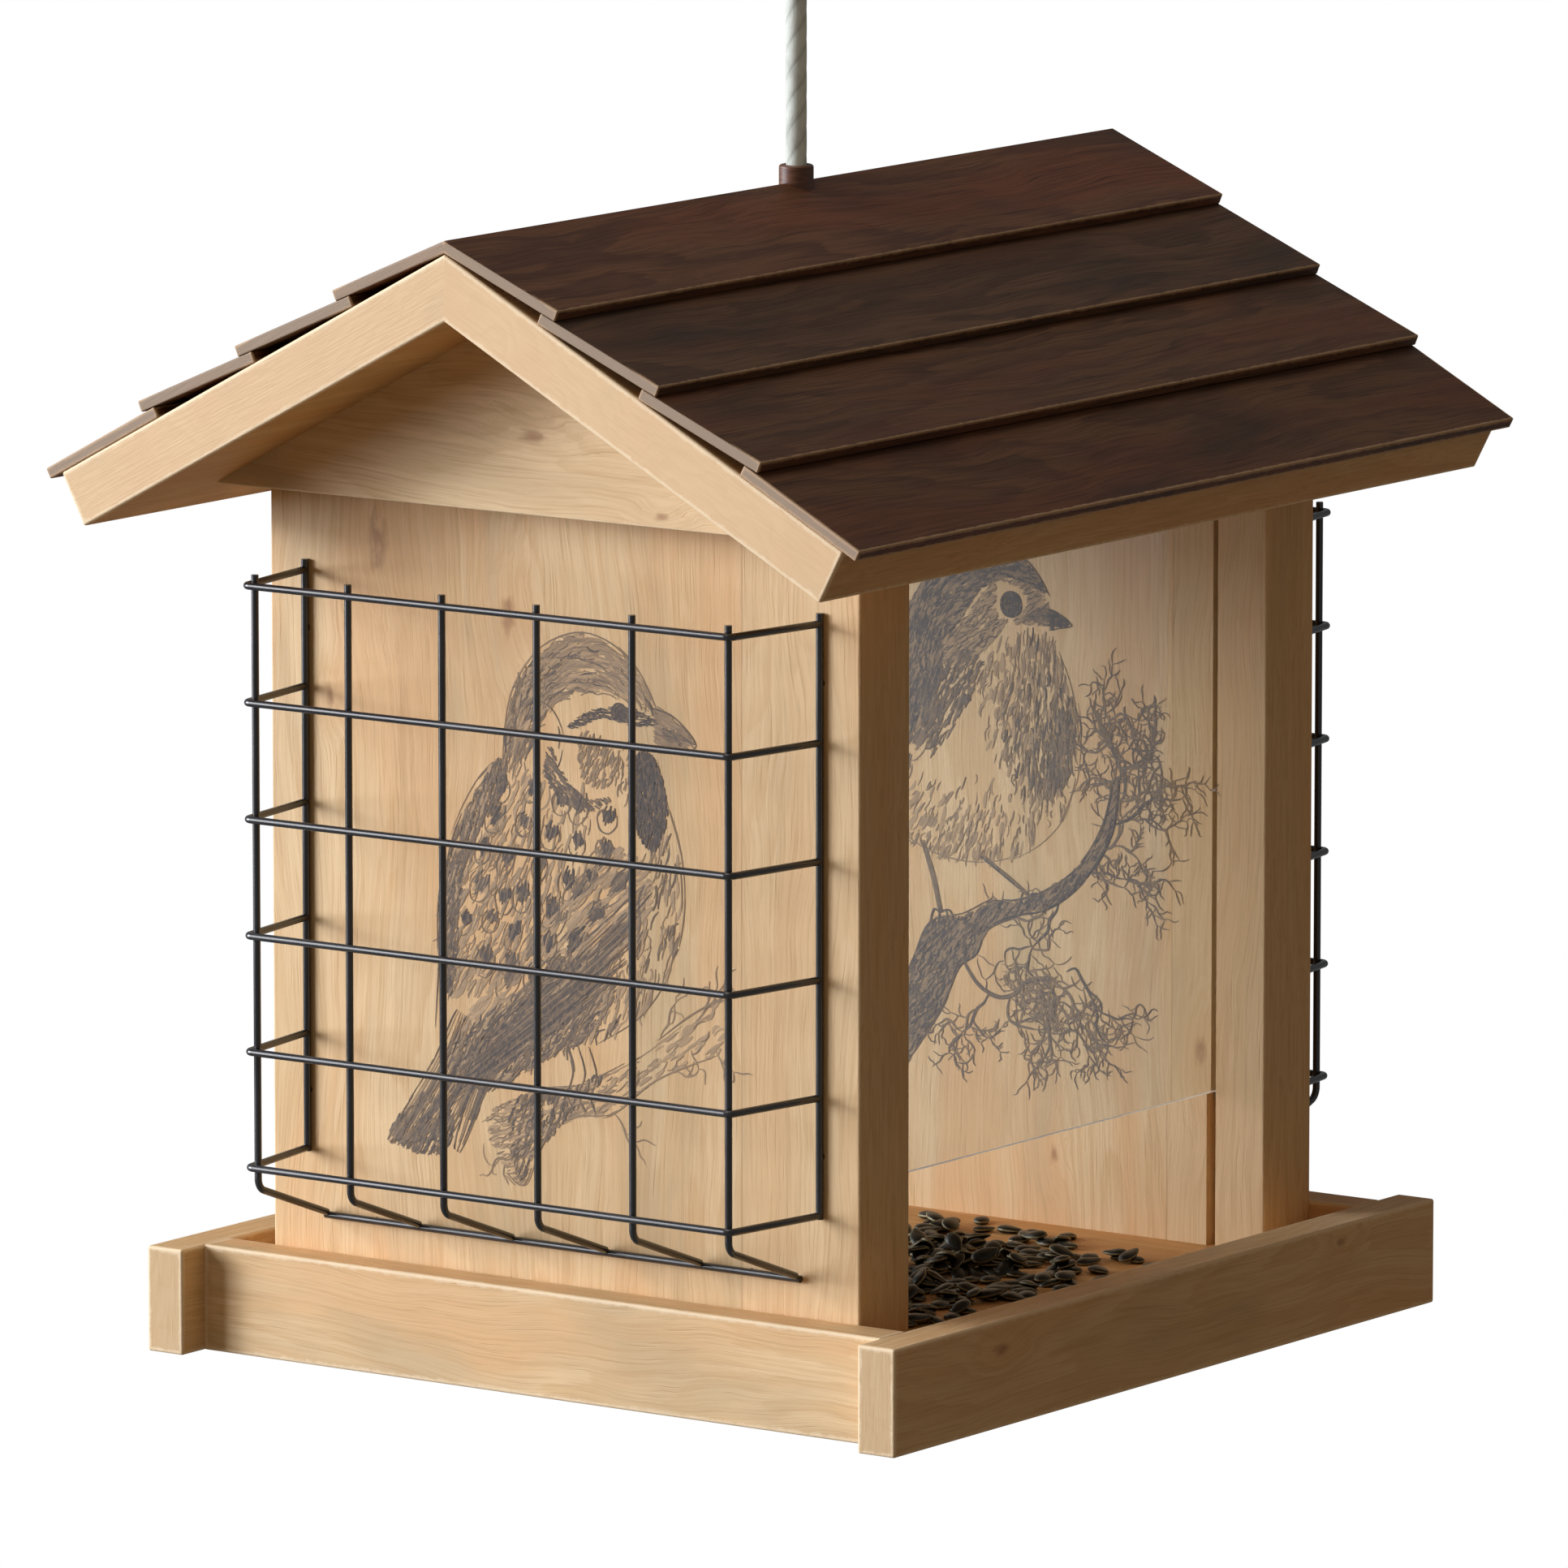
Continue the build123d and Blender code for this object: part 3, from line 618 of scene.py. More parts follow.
def round_body(s):
    """Brushed throat and breast, pale belly, dark shoulder and folded wing."""
    breast = [(20, 146), (24, 137), (26.5, 127), (25, 116), (17, 108), (8, 114), (0, 126), (1, 138), (9, 146)]
    s.hatch(breast, 1.4, 3.6, (262, 0.8, 0), (0.34, 0.008, 0), BROAD, FAINT, ragged=True)
    s.hatch(breast, 1.0, 3.4, (262, 0.8, 0), (0.38, 0.016, 0), FINE, SOFT, ragged=True)
    s.hatch(breast, 1.15, 3.6, (262, 0.8, 0), (0.22, 0.024, -0.006), MEDIUM, FIRM, ragged=True)
    s.hatch([(24, 132), (26, 124), (24, 114), (17, 109), (13, 116), (16, 126)],
            1.0, 3.8, 268, (0.5, 0.02, 0), MEDIUM, FIRM)
    s.hatch([(1, 138), (-4, 128), (-12, 118), (-15, 126), (-11, 136), (-4, 142)], 0.9, 3.6, 240,
            0.7, MEDIUM, FIRM, ragged=True)
    s.hatch([(-6, 146), (1, 140), (0, 132), (-6, 134), (-12, 142)], 1.2, 3.0, 235, 0.3, FINE, SOFT)
    belly = [(25, 114), (20, 104), (11, 97.5), (0, 94.5), (-14, 96), (-27, 103), (-23, 114),
             (-8, 118), (8, 112)]
    s.hatch(belly, 1.5, 3.4, (250, 1.0, 0), (0.2, 0, -0.03), BROAD, FAINT, ragged=True)
    s.hatch(belly, 1.2, 2.8, (250, 1.0, 0), (0.30, 0, -0.035), FINE, SOFT, ragged=True)
    front = [(22, 144), (25.5, 136), (27.2, 126), (26, 114), (21, 104.4), (12, 97.4), (0, 94),
             (-14, 95.6), (-27, 102.6)]
    s.contour(front, FINE, SOFT, wander=0.35)
    shoulder = [(-14, 150), (-24, 144), (-34, 134), (-41, 120), (-43, 106), (-34, 106), (-24, 116),
                (-14, 126), (-9, 140)]
    s.hatch(shoulder, 0.9, 4.2, (244, 0.6, 0), 0.9, BROAD, SOFT)
    s.hatch(shoulder, 0.8, 3.6, (244, 0.6, 0), (0.62, 0.01, 0), MEDIUM, BLACK)
    for row in range(4):
        for column in range(3):
            root = (-17 - 4.0 * row + 3.4 * column, 137 - 6.2 * row - 3.2 * column)
            s.feather(root, 238 + 3 * column, 9.5, 4.8, FIRM)
    for index in range(5):
        s.quill([(-18 - 3.2 * index, 122 - index), (-30 - 2.4 * index, 110 - 1.2 * index),
                 (-45 - 1.4 * index, 97 - index)], 3.4, FIRM)
    for index in range(3):
        s.quill([(-36, 103 - 2.4 * index), (-46, 95 - 3.0 * index), (-57, 87 - 3.6 * index)], 3.2, FIRM)


def bare_branch(s):
    """The crooked branch under the round bird, its feet, and a spray of bare twigs."""
    for hip, knee, foot in (((1, 96), (7, 92.5), (14, 88)), ((-15, 98), (-12, 90), (-10, 82))):
        for lean in (-0.4, 0.0, 0.4):
            s.contour([(hip[0] + lean, hip[1]), (knee[0] + lean, knee[1]), (foot[0] + lean, foot[1])],
                      MEDIUM, FIRM, wander=0.06)
        for toe in (-3.0, -0.4, 2.2, 4.4):
            s.contour([foot, (foot[0] + toe * 0.6, foot[1] + 0.6), (foot[0] + toe, foot[1] - 3.6)],
                      MEDIUM, BLACK, wander=0.08)
    top = [(-36, 46), (-25, 58), (-18, 70), (-13, 79.5), (-4, 82), (4, 86), (10, 86.5), (18, 89.5),
           (28, 97), (34, 106), (36.5, 116)]
    under = [(38, 116), (36, 104), (30, 94), (20, 86), (11, 83.5), (3, 80), (0, 74), (-5, 70),
             (-9, 62), (-16, 52), (-22, 44)]
    s.hatch(top + under, 0.8, 3.0, 52, 0.85, BROAD, SOFT)
    s.hatch(top + under, 0.75, 2.8, 52, (0.66, -0.006, 0), MEDIUM, BLACK)
    s.contour(top, MEDIUM, BLACK)
    s.contour(under, MEDIUM, BLACK)
    side_branch = [(-4, 72), (0, 67), (5, 64.5), (10, 65.5), (14, 69), (20, 70)]
    for lean in (-0.4, 0.0, 0.4):
        s.contour([(u, v + lean) for u, v in side_branch], MEDIUM, FIRM, wander=0.08)
    starts = (((37, 115), 82), ((37, 111), 48), ((36, 106), 24), ((32, 99), 4),
              ((28, 95), -20), ((22, 88), -38), ((38, 116), 100), ((20, 70), 14),
              ((24, 72), -12), ((16, 70), -40), ((9, 65), -74), ((3, 65), -108))
    for start, heading in starts:
        s.twig(start, heading, s.chance.uniform(11.5, 14.0), 0.75, FIRM, forks=3)


def add_prints():
    """The same two drawings on each end wall: one outside, one inside."""
    streaked, round_bird = Sketch(3), Sketch(5)
    for draw in (broken_branch, streaked_body, streaked_wing, streaked_head):
        draw(streaked)
    for draw in (bare_branch, round_body, round_head):
        draw(round_bird)
    return [streaked.print_on("bird_print_front_outside", -outer_face, -1),
            streaked.print_on("bird_print_rear_outside", outer_face, 1),
            round_bird.print_on("bird_print_rear_inside", inner_face, -1),
            round_bird.print_on("bird_print_front_inside", -inner_face, 1)]


# ---------------------------------------------------------------- material nodes
def linear(red, green, blue):
    """A colour given as screen values from 0 to 255, as the shaders want it."""
    def curve(value):
        value /= 255.0
        return value / 12.92 if value <= 0.04045 else ((value + 0.055) / 1.055) ** 2.4
    return (curve(red), curve(green), curve(blue), 1.0)


class Graph:
    """Short calls for building one material's nodes."""

    def __init__(self, name=None, tree=None):
        if tree is None:
            self.material = bpy.data.materials.new(name)
            self.material.use_nodes = True
            tree = self.material.node_tree
        self.tree = tree
        self.tree.nodes.clear()

    def node(self, kind, inputs=None, **settings):
        """A new shader node. inputs gives sockets, by name or number, a plain value or another socket."""
        made = self.tree.nodes.new("ShaderNode" + kind)
        for key, value in settings.items():
            setattr(made, key, value)
        for key, value in (inputs or {}).items():
            if isinstance(value, bpy.types.NodeSocket):
                self.tree.links.new(value, made.inputs[key])
            else:
                made.inputs[key].default_value = value
        return made

    def maths(self, operation, *values):
        return self.node("Math", dict(enumerate(values)), operation=operation).outputs[0]

    def times(self, first, second):
        return self.maths("MULTIPLY", first, second)

    def plus(self, first, second):
        return self.maths("ADD", first, second)

    def minus(self, first, second):
        return self.maths("SUBTRACT", first, second)

    def swing(self, noise, reach):
        """A noise from 0 to 1 as a swing about 0."""
        return self.times(self.minus(noise, 0.5), reach)

    def vector(self, operation, *values):
        made = self.node("VectorMath", dict(enumerate(values)), operation=operation)
        return made.outputs["Value" if operation == "DOT_PRODUCT" else "Vector"]

    def join(self, *values):
        """Three numbers as one vector."""
        return self.node("CombineXYZ", dict(enumerate(values))).outputs[0]

    def place(self):
        """Position in the part's frame, in millimetres."""
        return self.vector("MULTIPLY", self.node("TexCoord").outputs["Object"], (1000.0,) * 3)

    def facing(self):
        return self.node("TexCoord").outputs["Normal"]

    def attribute(self, name):
        return self.node("Attribute", attribute_name=name).outputs["Fac"]

    def along(self, vector, axis):
        return self.vector("DOT_PRODUCT", vector, axis)

    def noise(self, place, stretch, detail=2.0, roughness=0.5):
        """Noise with a frequency for each axis, from 0 to 1."""
        inputs = {"Vector": self.vector("MULTIPLY", place, stretch), "Scale": 1.0,
                  "Detail": detail, "Roughness": roughness}
        return self.node("TexNoise", inputs).outputs["Fac"]

    def span(self, *numbers):
        """Smooth step of a value from one range (low, high) to another, which is 0 to 1 if not given."""
        return self.node("MapRange", dict(enumerate(numbers)), interpolation_type="SMOOTHSTEP").outputs[0]

    def mix(self, factor, first, second):
        return self.node("Mix", {"Factor": factor, 6: first, 7: second}, data_type="RGBA").outputs[2]

    def bump(self, height, strength, distance):
        return self.node("Bump", {"Height": height, "Strength": strength, "Distance": distance}).outputs[0]

    def surface(self, **inputs):
        """Principled surface. Underscores in the names stand for spaces."""
        named = {key.replace("_", " "): value for key, value in inputs.items()}
        return self.close(self.node("BsdfPrincipled", named).outputs[0])

    def close(self, shader):
        """Make a shader the material's surface."""
        self.node("OutputMaterial", {"Surface": shader})
        return self.material


# ---------------------------------------------------------------- timber
X, Y, Z = (1.0, 0.0, 0.0), (0.0, 1.0, 0.0), (0.0, 0.0, 1.0)

PALE_OAK = {
    "light": linear(234, 199, 149), "mid": linear(223, 184, 131), "dark": linear(192, 149, 98),
    "warm": linear(228, 179, 123), "grey": linear(203, 174, 129), "knot": linear(150, 94, 54),
    "worn_highlight": linear(246, 220, 180), "end": linear(226, 190, 142), "sheen": 0.46,
    "figure": 0.85, "fibre": 0.50, "patches": 0.75, "pores": 0.12, "end_share": 0.5, "gloss": 0.35,
}
# The gable boards are greyer and the rails' ends darker. The roof's boards are browner as painted shade, for
# the warm light bounced into the soffit; the tray's floor boards are browner, partly their own tone and
# partly painted warm shade from light bounced round inside.
GREY_OAK = {**PALE_OAK, "light": linear(238, 205, 156), "mid": linear(228, 192, 141),
            "warm": linear(222, 189, 141), "grey": linear(196, 171, 132), "patches": 0.9}
BROWN_OAK = {**PALE_OAK, "light": linear(216, 165, 102), "mid": linear(202, 148, 84),
             "warm": linear(208, 146, 82), "grey": linear(184, 138, 82), "dark": linear(170, 118, 62)}
ROOF_OAK = {**PALE_OAK, "light": linear(226, 183, 126), "mid": linear(214, 168, 110),
            "warm": linear(218, 164, 104), "grey": linear(196, 160, 110), "dark": linear(182, 134, 80),
            "end": linear(224, 190, 146), "end_share": 0.7}
RAIL_OAK = {**PALE_OAK, "end": linear(198, 166, 122), "end_share": 0.7}

RED_WALNUT = {
    "light": linear(116, 77, 52), "mid": linear(93, 60, 40), "dark": linear(54, 35, 23),
    "warm": linear(124, 71, 45), "grey": linear(72, 52, 38), "knot": linear(32, 21, 15),
    "worn_highlight": linear(192, 160, 126), "end": linear(172, 149, 124), "sheen": 0.46,
    "figure": 1.0, "fibre": 0.66, "patches": 0.75, "pores": 0.30, "end_share": 0.75, "gloss": 0.22,
}
GREY_WALNUT = {**RED_WALNUT, "light": linear(104, 74, 50), "mid": linear(82, 58, 39),
               "warm": linear(96, 62, 42), "grey": linear(64, 49, 38), "dark": linear(50, 34, 23)}
BROWN_WALNUT = {**RED_WALNUT, "light": linear(110, 76, 51), "mid": linear(88, 60, 40),
                "warm": linear(110, 66, 43), "grey": linear(68, 50, 37)}
COURSES = (RED_WALNUT, GREY_WALNUT, BROWN_WALNUT, BROWN_WALNUT)


def knots_in(g, place, grain, width, knots):
    """How far knots bend the grain round them, their cores, and the halo round each."""
    bend, cores, halo = 0.0, 0.0, 0.0
    for knot_grain, knot_width, radius in knots:
        away_grain = g.times(g.minus(grain, knot_grain), 0.5 / radius)
        away_width = g.times(g.minus(width, knot_width), 1.0 / radius)
        wobble = g.swing(g.noise(place, (0.22, 0.45, 0.0), 3.0), 2.8)
        far = g.maths("SQRT", g.plus(g.maths("POWER", g.plus(away_grain, wobble), 2.0),
                                     g.maths("POWER", away_width, 2.0)))
        bend = g.plus(g.span(far, 0.2, 6.0, 1.5, 0.0), bend)
        cores = g.maths("MAXIMUM", g.span(far, 0.1, 1.3, 1.0, 0.0), cores)
        halo = g.maths("MAXIMUM", g.span(far, 0.6, 5.0, 0.7, 0.0), halo)
    return bend, cores, halo


def swayed(g, place, bend):
    """The place in a board whose grain isn't straight: it sways slowly, ripples, and goes round knots."""
    sway = g.swing(g.noise(place, (0.011, 0.024, 0.024)), 17.0)
    ripple = g.swing(g.noise(place, (0.06, 0.11, 0.11)), 1.3)
    return g.vector("ADD", place, g.join(0.0, g.plus(g.plus(sway, ripple), g.times(bend, 2.2)), 0.0))


def late_wood(g, place, depth, bend):
    """The darker band of each growth ring, which fades in slowly and ends sharply."""
    flow = g.noise(place, (0.0048, 0.030, 0.030), 2.0, 0.45)
    drift = g.noise(place, (0.022, 0.16, 0.16), 3.0, 0.55)
    phase = g.plus(g.plus(g.plus(g.times(flow, 13.0), g.times(drift, 1.8)), g.times(depth, 0.30)), bend)
    ring = g.maths("FRACT", phase)
    return g.times(g.span(ring, 0.25, 0.90), g.span(ring, 0.90, 1.0, 1.0, 0.0))


def fibre_and_pores(g, place, is_end):
    """Fine fibre along the grain, or across an end, and the pores, which only the long faces show."""
    long_fibre = g.noise(place, (0.036, 1.9, 1.9), 5.0, 0.72)
    end_fibre = g.noise(place, (0.6, 0.11, 2.3), 3.0, 0.6)
    pores = g.span(g.noise(place, (0.07, 3.0, 3.0), 1.0, 0.5), 0.60, 0.74)
    return g.mix(is_end, long_fibre, end_fibre), g.times(pores, g.minus(1.0, is_end))


def timber(name, palette, axes, seed, corners=None, knots=(), seam=None, wear_and_highlight=1.0):
    """Sawn board. axes are its grain, width and thickness directions; knots and seam are in mm along them."""
    g = Graph(name)
    here = g.place()
    grain, width, depth = (g.along(here, axis) for axis in axes)
    shift = (seed * 137.3 % 911.0, seed * 71.9 % 577.0, seed * 53.1 % 463.0)
    place = g.vector("ADD", g.join(grain, width, depth), shift)
    if seam is not None:
        beyond = g.maths("GREATER_THAN", width, seam)
        jump = g.vector("MULTIPLY", g.join(beyond, beyond, beyond), (217.0, 90.0, 31.0))
        place = g.vector("ADD", place, jump)
    bend, cores, halo = knots_in(g, place, grain, width, knots)
    place = swayed(g, place, bend)
    is_end = g.span(g.maths("ABSOLUTE", g.along(g.facing(), axes[0])), 0.6, 0.8)
    fibre, pores = fibre_and_pores(g, place, is_end)
    soft = g.noise(place, (0.010, 0.060, 0.060), 3.0, 0.5)
    stain = g.noise(place, (0.013, 0.042, 0.042), 3.0, 0.55)

    layers = [(g.times(late_wood(g, place, depth, bend), palette["figure"]), "mid"),
              (g.span(soft, 0.42, 0.66, 0.0, palette["patches"]), "warm"),
              (g.span(stain, 0.50, 0.72, 0.0, palette["patches"]), "grey")]
    if seam is not None:
        layers.append((g.times(beyond, 0.4), "light"))
    layers += [(g.span(fibre, 0.42, 0.72, 0.0, palette["fibre"]), "dark"),
               (g.times(pores, palette["pores"]), "knot"),
               (g.times(is_end, palette["end_share"]), "end")]
    if knots:
        layers += [(g.times(halo, g.span(fibre, 0.3, 0.7, 0.2, 0.8)), "warm"), (g.times(cores, 0.62), "knot")]
    if seam is not None:
        layers.append((g.span(g.maths("ABSOLUTE", g.minus(width, seam)), 0.08, 0.26, 0.30, 0.0), "knot"))
    if corners:
        # painted highlight, in part: the arrises turn lighter, both as rubbed wood and as a highlight painted
        # along the edges
        layers.append((worn_and_highlit_edges(g, here, corners, wear_and_highlight), "worn_highlight"))
    colour = palette["light"]
    for share, tint in layers:
        colour = g.mix(share, colour, palette[tint])

    height = g.minus(g.times(fibre, -1.0), g.times(pores, 0.6))
    roughness = g.plus(palette["sheen"], g.times(fibre, 0.22))
    return g.surface(Base_Color=colour, Roughness=roughness, Normal=g.bump(height, 0.35, 0.00018),
                     Specular_IOR_Level=palette["gloss"])


def worn_and_highlit_edges(g, here, corners, wear_and_highlight):
    """1 on the lighter arrises of a board, partly rubbed wood and partly a painted highlight, whose box is
    given as (axis, low, high) three times, in mm.
    """
    gaps = []
    for axis, low, high in corners:
        value = g.along(here, axis)
        gaps.append(g.maths("MINIMUM", g.minus(value, low), g.minus(high, value)))
    least = g.maths("MINIMUM", gaps[0], g.maths("MINIMUM", gaps[1], gaps[2]))
    most = g.maths("MAXIMUM", gaps[0], g.maths("MAXIMUM", gaps[1], gaps[2]))
    total = g.plus(gaps[0], g.plus(gaps[1], gaps[2]))
    middle = g.minus(g.minus(total, least), most)
    ragged = g.noise(here, (0.35, 0.35, 0.35), 3.0, 0.7)
    reach = g.plus(0.15, g.times(ragged, 1.9 * wear_and_highlight))
    return g.span(g.maths("DIVIDE", middle, reach), 0.35, 1.15, 0.80, 0.0)


def slope_axes(side):
    """Grain, down-slope and outward directions of a roof slope, side 1 on the right."""
    return (Y, (side * math.cos(roof_pitch), 0.0, -math.sin(roof_pitch)),
            (side * math.sin(roof_pitch), 0.0, math.cos(roof_pitch)))


def corners_along(node, axes):
    """The board's lowest and highest place along each of three directions, in mm."""
    found = []
    for axis in axes:
        values = [vertex.co.dot(Vector(axis)) / MM for vertex in nodes[node].data.vertices]
        found.append((axis, min(values), max(values)))
    return found


def paint(node, material):
    """Give a CAD node one material."""
    nodes[node].data.materials.clear()
    nodes[node].data.materials.append(material)


BOARDS = {
    "tray_floor": (BROWN_OAK, (X, Y, Z), 3, 1.0, ((40.0, 44.0, 1.4),)),
    "tray_rail_left": (RAIL_OAK, (Y, Z, X), 5, 1.0, ((34.0, 11.0, 1.6),)),
    "tray_rail_right": (RAIL_OAK, (Y, Z, X), 8, 1.0, ((-62.0, 17.0, 1.5), (70.0, 19.5, 1.2))),
    "tray_rail_front": (RAIL_OAK, (X, Z, Y), 13, 1.0, ()),
    "tray_rail_rear": (RAIL_OAK, (X, Z, Y), 21, 1.0, ((-20.0, 9.0, 1.4),)),
    "hanger_bar": (PALE_OAK, (Y, X, Z), 34, 1.0, ()),
    "gable_board_front": (GREY_OAK, (X, Z, Y), 55, 0.3, ((2.0, 209.0, 1.7), (36.0, 194.5, 1.0))),
    "gable_board_rear": (GREY_OAK, (X, Z, Y), 89, 0.3, ((-24.0, 205.0, 1.4),)),
}
WALLS = {
    "end_wall_front": (144, 47.4, ((181.0, -49.0, 3.0), (168.0, -14.0, 2.2), (146.0, -62.0, 1.2))),
    "end_wall_rear": (233, 52.2, ((58.0, 60.0, 1.8), (30.0, 22.0, 1.2))),
}


def paint_timber():
    """Every board gets its own grain."""
    for node, (palette, axes, seed, wear_and_highlight, knots) in BOARDS.items():
        paint(node, timber(node + "_oak", palette, axes, seed, corners_along(node, axes), knots, wear_and_highlight=wear_and_highlight))
    for node, (seed, seam, knots) in WALLS.items():
        axes = (Z, X, Y)
        (grain, foot, peak), *others = corners_along(node, axes)
        corners = [(grain, foot - 5.0, peak), *others]      # the foot stands on the floor and gets neither a rubbed arris nor the painted highlight
        paint(node, timber(node + "_oak", PALE_OAK, axes, seed, corners, knots, seam, wear_and_highlight=0.3))
    for side, word in ((1, "right"), (-1, "left")):
        axes = slope_axes(side)
        node = "roof_panel_" + word
        paint(node, timber(node + "_oak", ROOF_OAK, axes, 7 + side, corners_along(node, axes)))
        for course, palette in enumerate(COURSES, 1):
            node = f"shingle_{word}_{course}"
            paint(node, timber(node + "_walnut", palette, axes, 10 * course + side,
                               corners_along(node, axes), wear_and_highlight=0.6))
    dowel = timber("dowel_beech", PALE_OAK, (X, Y, Z), 377)
    for node in ("rail_dowels", "ridge_dowels"):
        paint(node, dowel)


# ---------------------------------------------------------------- other finishes
def black_wire():
    """Glossy black coated wire, a little duller in places. Its base is a dark grey, partly the coating's own
    colour and partly a painted reflection of the soft grey surroundings.
    """
    g = Graph("black_wire")
    here = g.place()
    dusty = g.noise(here, (0.05, 0.05, 0.05), 2.0, 0.5)
    # painted reflection, in part: the lifted grey base stands in for some of the grey sheen the wires reflect
    colour = g.mix(g.span(dusty, 0.45, 0.7), linear(42, 42, 44), linear(52, 52, 54))
    roughness = g.span(dusty, 0.3, 0.7, 0.18, 0.25)
    return g.surface(Base_Color=colour, Roughness=roughness, Specular_IOR_Level=0.8,
                     Specular_Tint=(1.0, 0.94, 0.86, 1.0))


def brown_plastic():
    """Moulded brown plastic with faint rings from turning."""
    g = Graph("brown_plastic")
    here = g.place()
    rings = g.noise(here, (0.25, 0.25, 3.2), 3.0, 0.6)
    blotch = g.noise(here, (0.3, 0.3, 0.3), 2.0, 0.5)
    colour = g.mix(g.span(rings, 0.3, 0.7), linear(84, 52, 34), linear(120, 80, 53))
    colour = g.mix(g.span(blotch, 0.45, 0.75, 0.0, 0.5), colour, linear(98, 54, 32))
    return g.surface(Base_Color=colour, Roughness=0.42, Normal=g.bump(rings, 0.15, 0.0002))


def zinc_steel():
    """Dull zinc plate with fine spangle."""
    g = Graph("zinc_steel")
    here = g.place()
    spangle = g.noise(here, (0.8, 0.8, 0.8), 4.0, 0.65)
    colour = g.mix(g.span(spangle, 0.35, 0.65), linear(150, 152, 154), linear(190, 192, 194))
    return g.surface(Base_Color=colour, Metallic=1.0, Roughness=g.span(spangle, 0.3, 0.7, 0.30, 0.5))


def rope_fibre():
    """Off-white yarns with soiled patches, and painted shade darkening the grooves. The faint glow is painted
    light: an emission standing in for light that soaks through the fibres.
    """
    g = Graph("rope_fibre")
    here = g.place()
    soiled = g.noise(here, (0.16, 0.16, 0.10), 3.0, 0.6)
    yarn = g.noise(here, (2.6, 2.6, 0.9), 2.0, 0.6)
    sunk = g.attribute("sunk")
    colour = g.mix(g.span(soiled, 0.46, 0.72, 0.0, 0.8), linear(205, 207, 195), linear(160, 161, 149))
    colour = g.mix(g.span(yarn, 0.4, 0.75, 0.0, 0.35), colour, linear(178, 179, 166))
    # painted shade: darker where the surface sinks into the grooves between the strands
    colour = g.mix(g.span(sunk, 0.02, 0.13, 0.0, 0.62), colour, linear(120, 120, 108))
    # painted light: the emission makes the rope glow faintly, though it is no lamp
    return g.surface(Base_Color=colour, Roughness=0.85, Specular_IOR_Level=0.2, Sheen_Weight=0.3,
                     Emission_Color=colour, Emission_Strength=0.09, Normal=g.bump(yarn, 0.3, 0.0002))


def seed_husk():
    """Black-green husk with faint stripes, and a painted highlight as a pale line along the rims."""
    g = Graph("seed_husk")
    rim = g.attribute("rim")
    tone = g.attribute("tone")
    here = g.place()
    streak = g.noise(here, (1.6, 1.6, 1.6), 3.0, 0.6)
    colour = g.mix(tone, linear(13, 14, 10), linear(29, 29, 20))
    colour = g.mix(g.span(streak, 0.45, 0.7, 0.0, 0.3), colour, linear(40, 39, 26))
    # painted highlight: a pale line along each seed's rim, broken by the stripes
    edge = g.times(g.span(rim, 0.30, 0.85), g.span(streak, 0.3, 0.6, 0.5, 1.0))
    colour = g.mix(edge, colour, linear(170, 156, 116))
    return g.surface(Base_Color=colour, Roughness=g.span(streak, 0.3, 0.7, 0.30, 0.44),
                     Specular_IOR_Level=0.36, Specular_Tint=(1.0, 0.93, 0.76, 1.0),
                     Normal=g.bump(streak, 0.12, 0.0002))


def clear_acrylic():
    """Clear sheet that bends what is seen through it, lets the lamps through, and has paler, frosted sawn
    edges that also glow faintly with painted light.
    """
    g = Graph("clear_acrylic")
    here = g.place()
    sawn = g.span(g.maths("ABSOLUTE", g.along(g.facing(), X)), 0.5, 0.9, 1.0, 0.0)
    scuff = g.noise(here, (0.02, 0.02, 0.02), 2.0, 0.5)
    sheet = g.node("BsdfPrincipled", {
        "Base Color": g.mix(scuff, linear(251, 253, 252), linear(247, 250, 249)),
        "IOR": 1.49,
        "Roughness": g.times(sawn, 0.5),
        "Specular IOR Level": 0.1,
        "Transmission Weight": g.minus(1.0, g.times(sawn, 0.8)),
        # painted light: the sawn edges glow faintly, though the sheet is no lamp
        "Emission Color": linear(255, 250, 244),
        "Emission Strength": g.times(sawn, 0.34),
    })
    open_to_lamps = g.node("BsdfTransparent", {"Color": (0.90, 0.905, 0.90, 1.0)})
    ray = g.node("LightPath").outputs
    unbent = g.maths("MAXIMUM", ray["Is Shadow Ray"], g.maths("GREATER_THAN", ray["Diffuse Depth"], 0.5))
    whole = g.node("MixShader", {0: unbent, 1: sheet.outputs[0], 2: open_to_lamps.outputs[0]})
    return g.close(whole.outputs[0])


def print_ink():
    """Brown-grey ink that lets the wood show where a stroke is faint, and is grainy like pencil."""
    g = Graph("print_ink")
    tone = g.attribute("tone")
    grain = g.noise(g.place(), (1.3, 1.3, 0.7), 3.0, 0.65)
    colour = g.mix(tone, linear(196, 164, 127), linear(91, 84, 80))
    colour = g.mix(g.span(grain, 0.48, 0.70, 0.0, 0.45), colour, linear(176, 144, 106))
    return g.surface(Base_Color=colour, Roughness=0.6, Specular_IOR_Level=0.2)


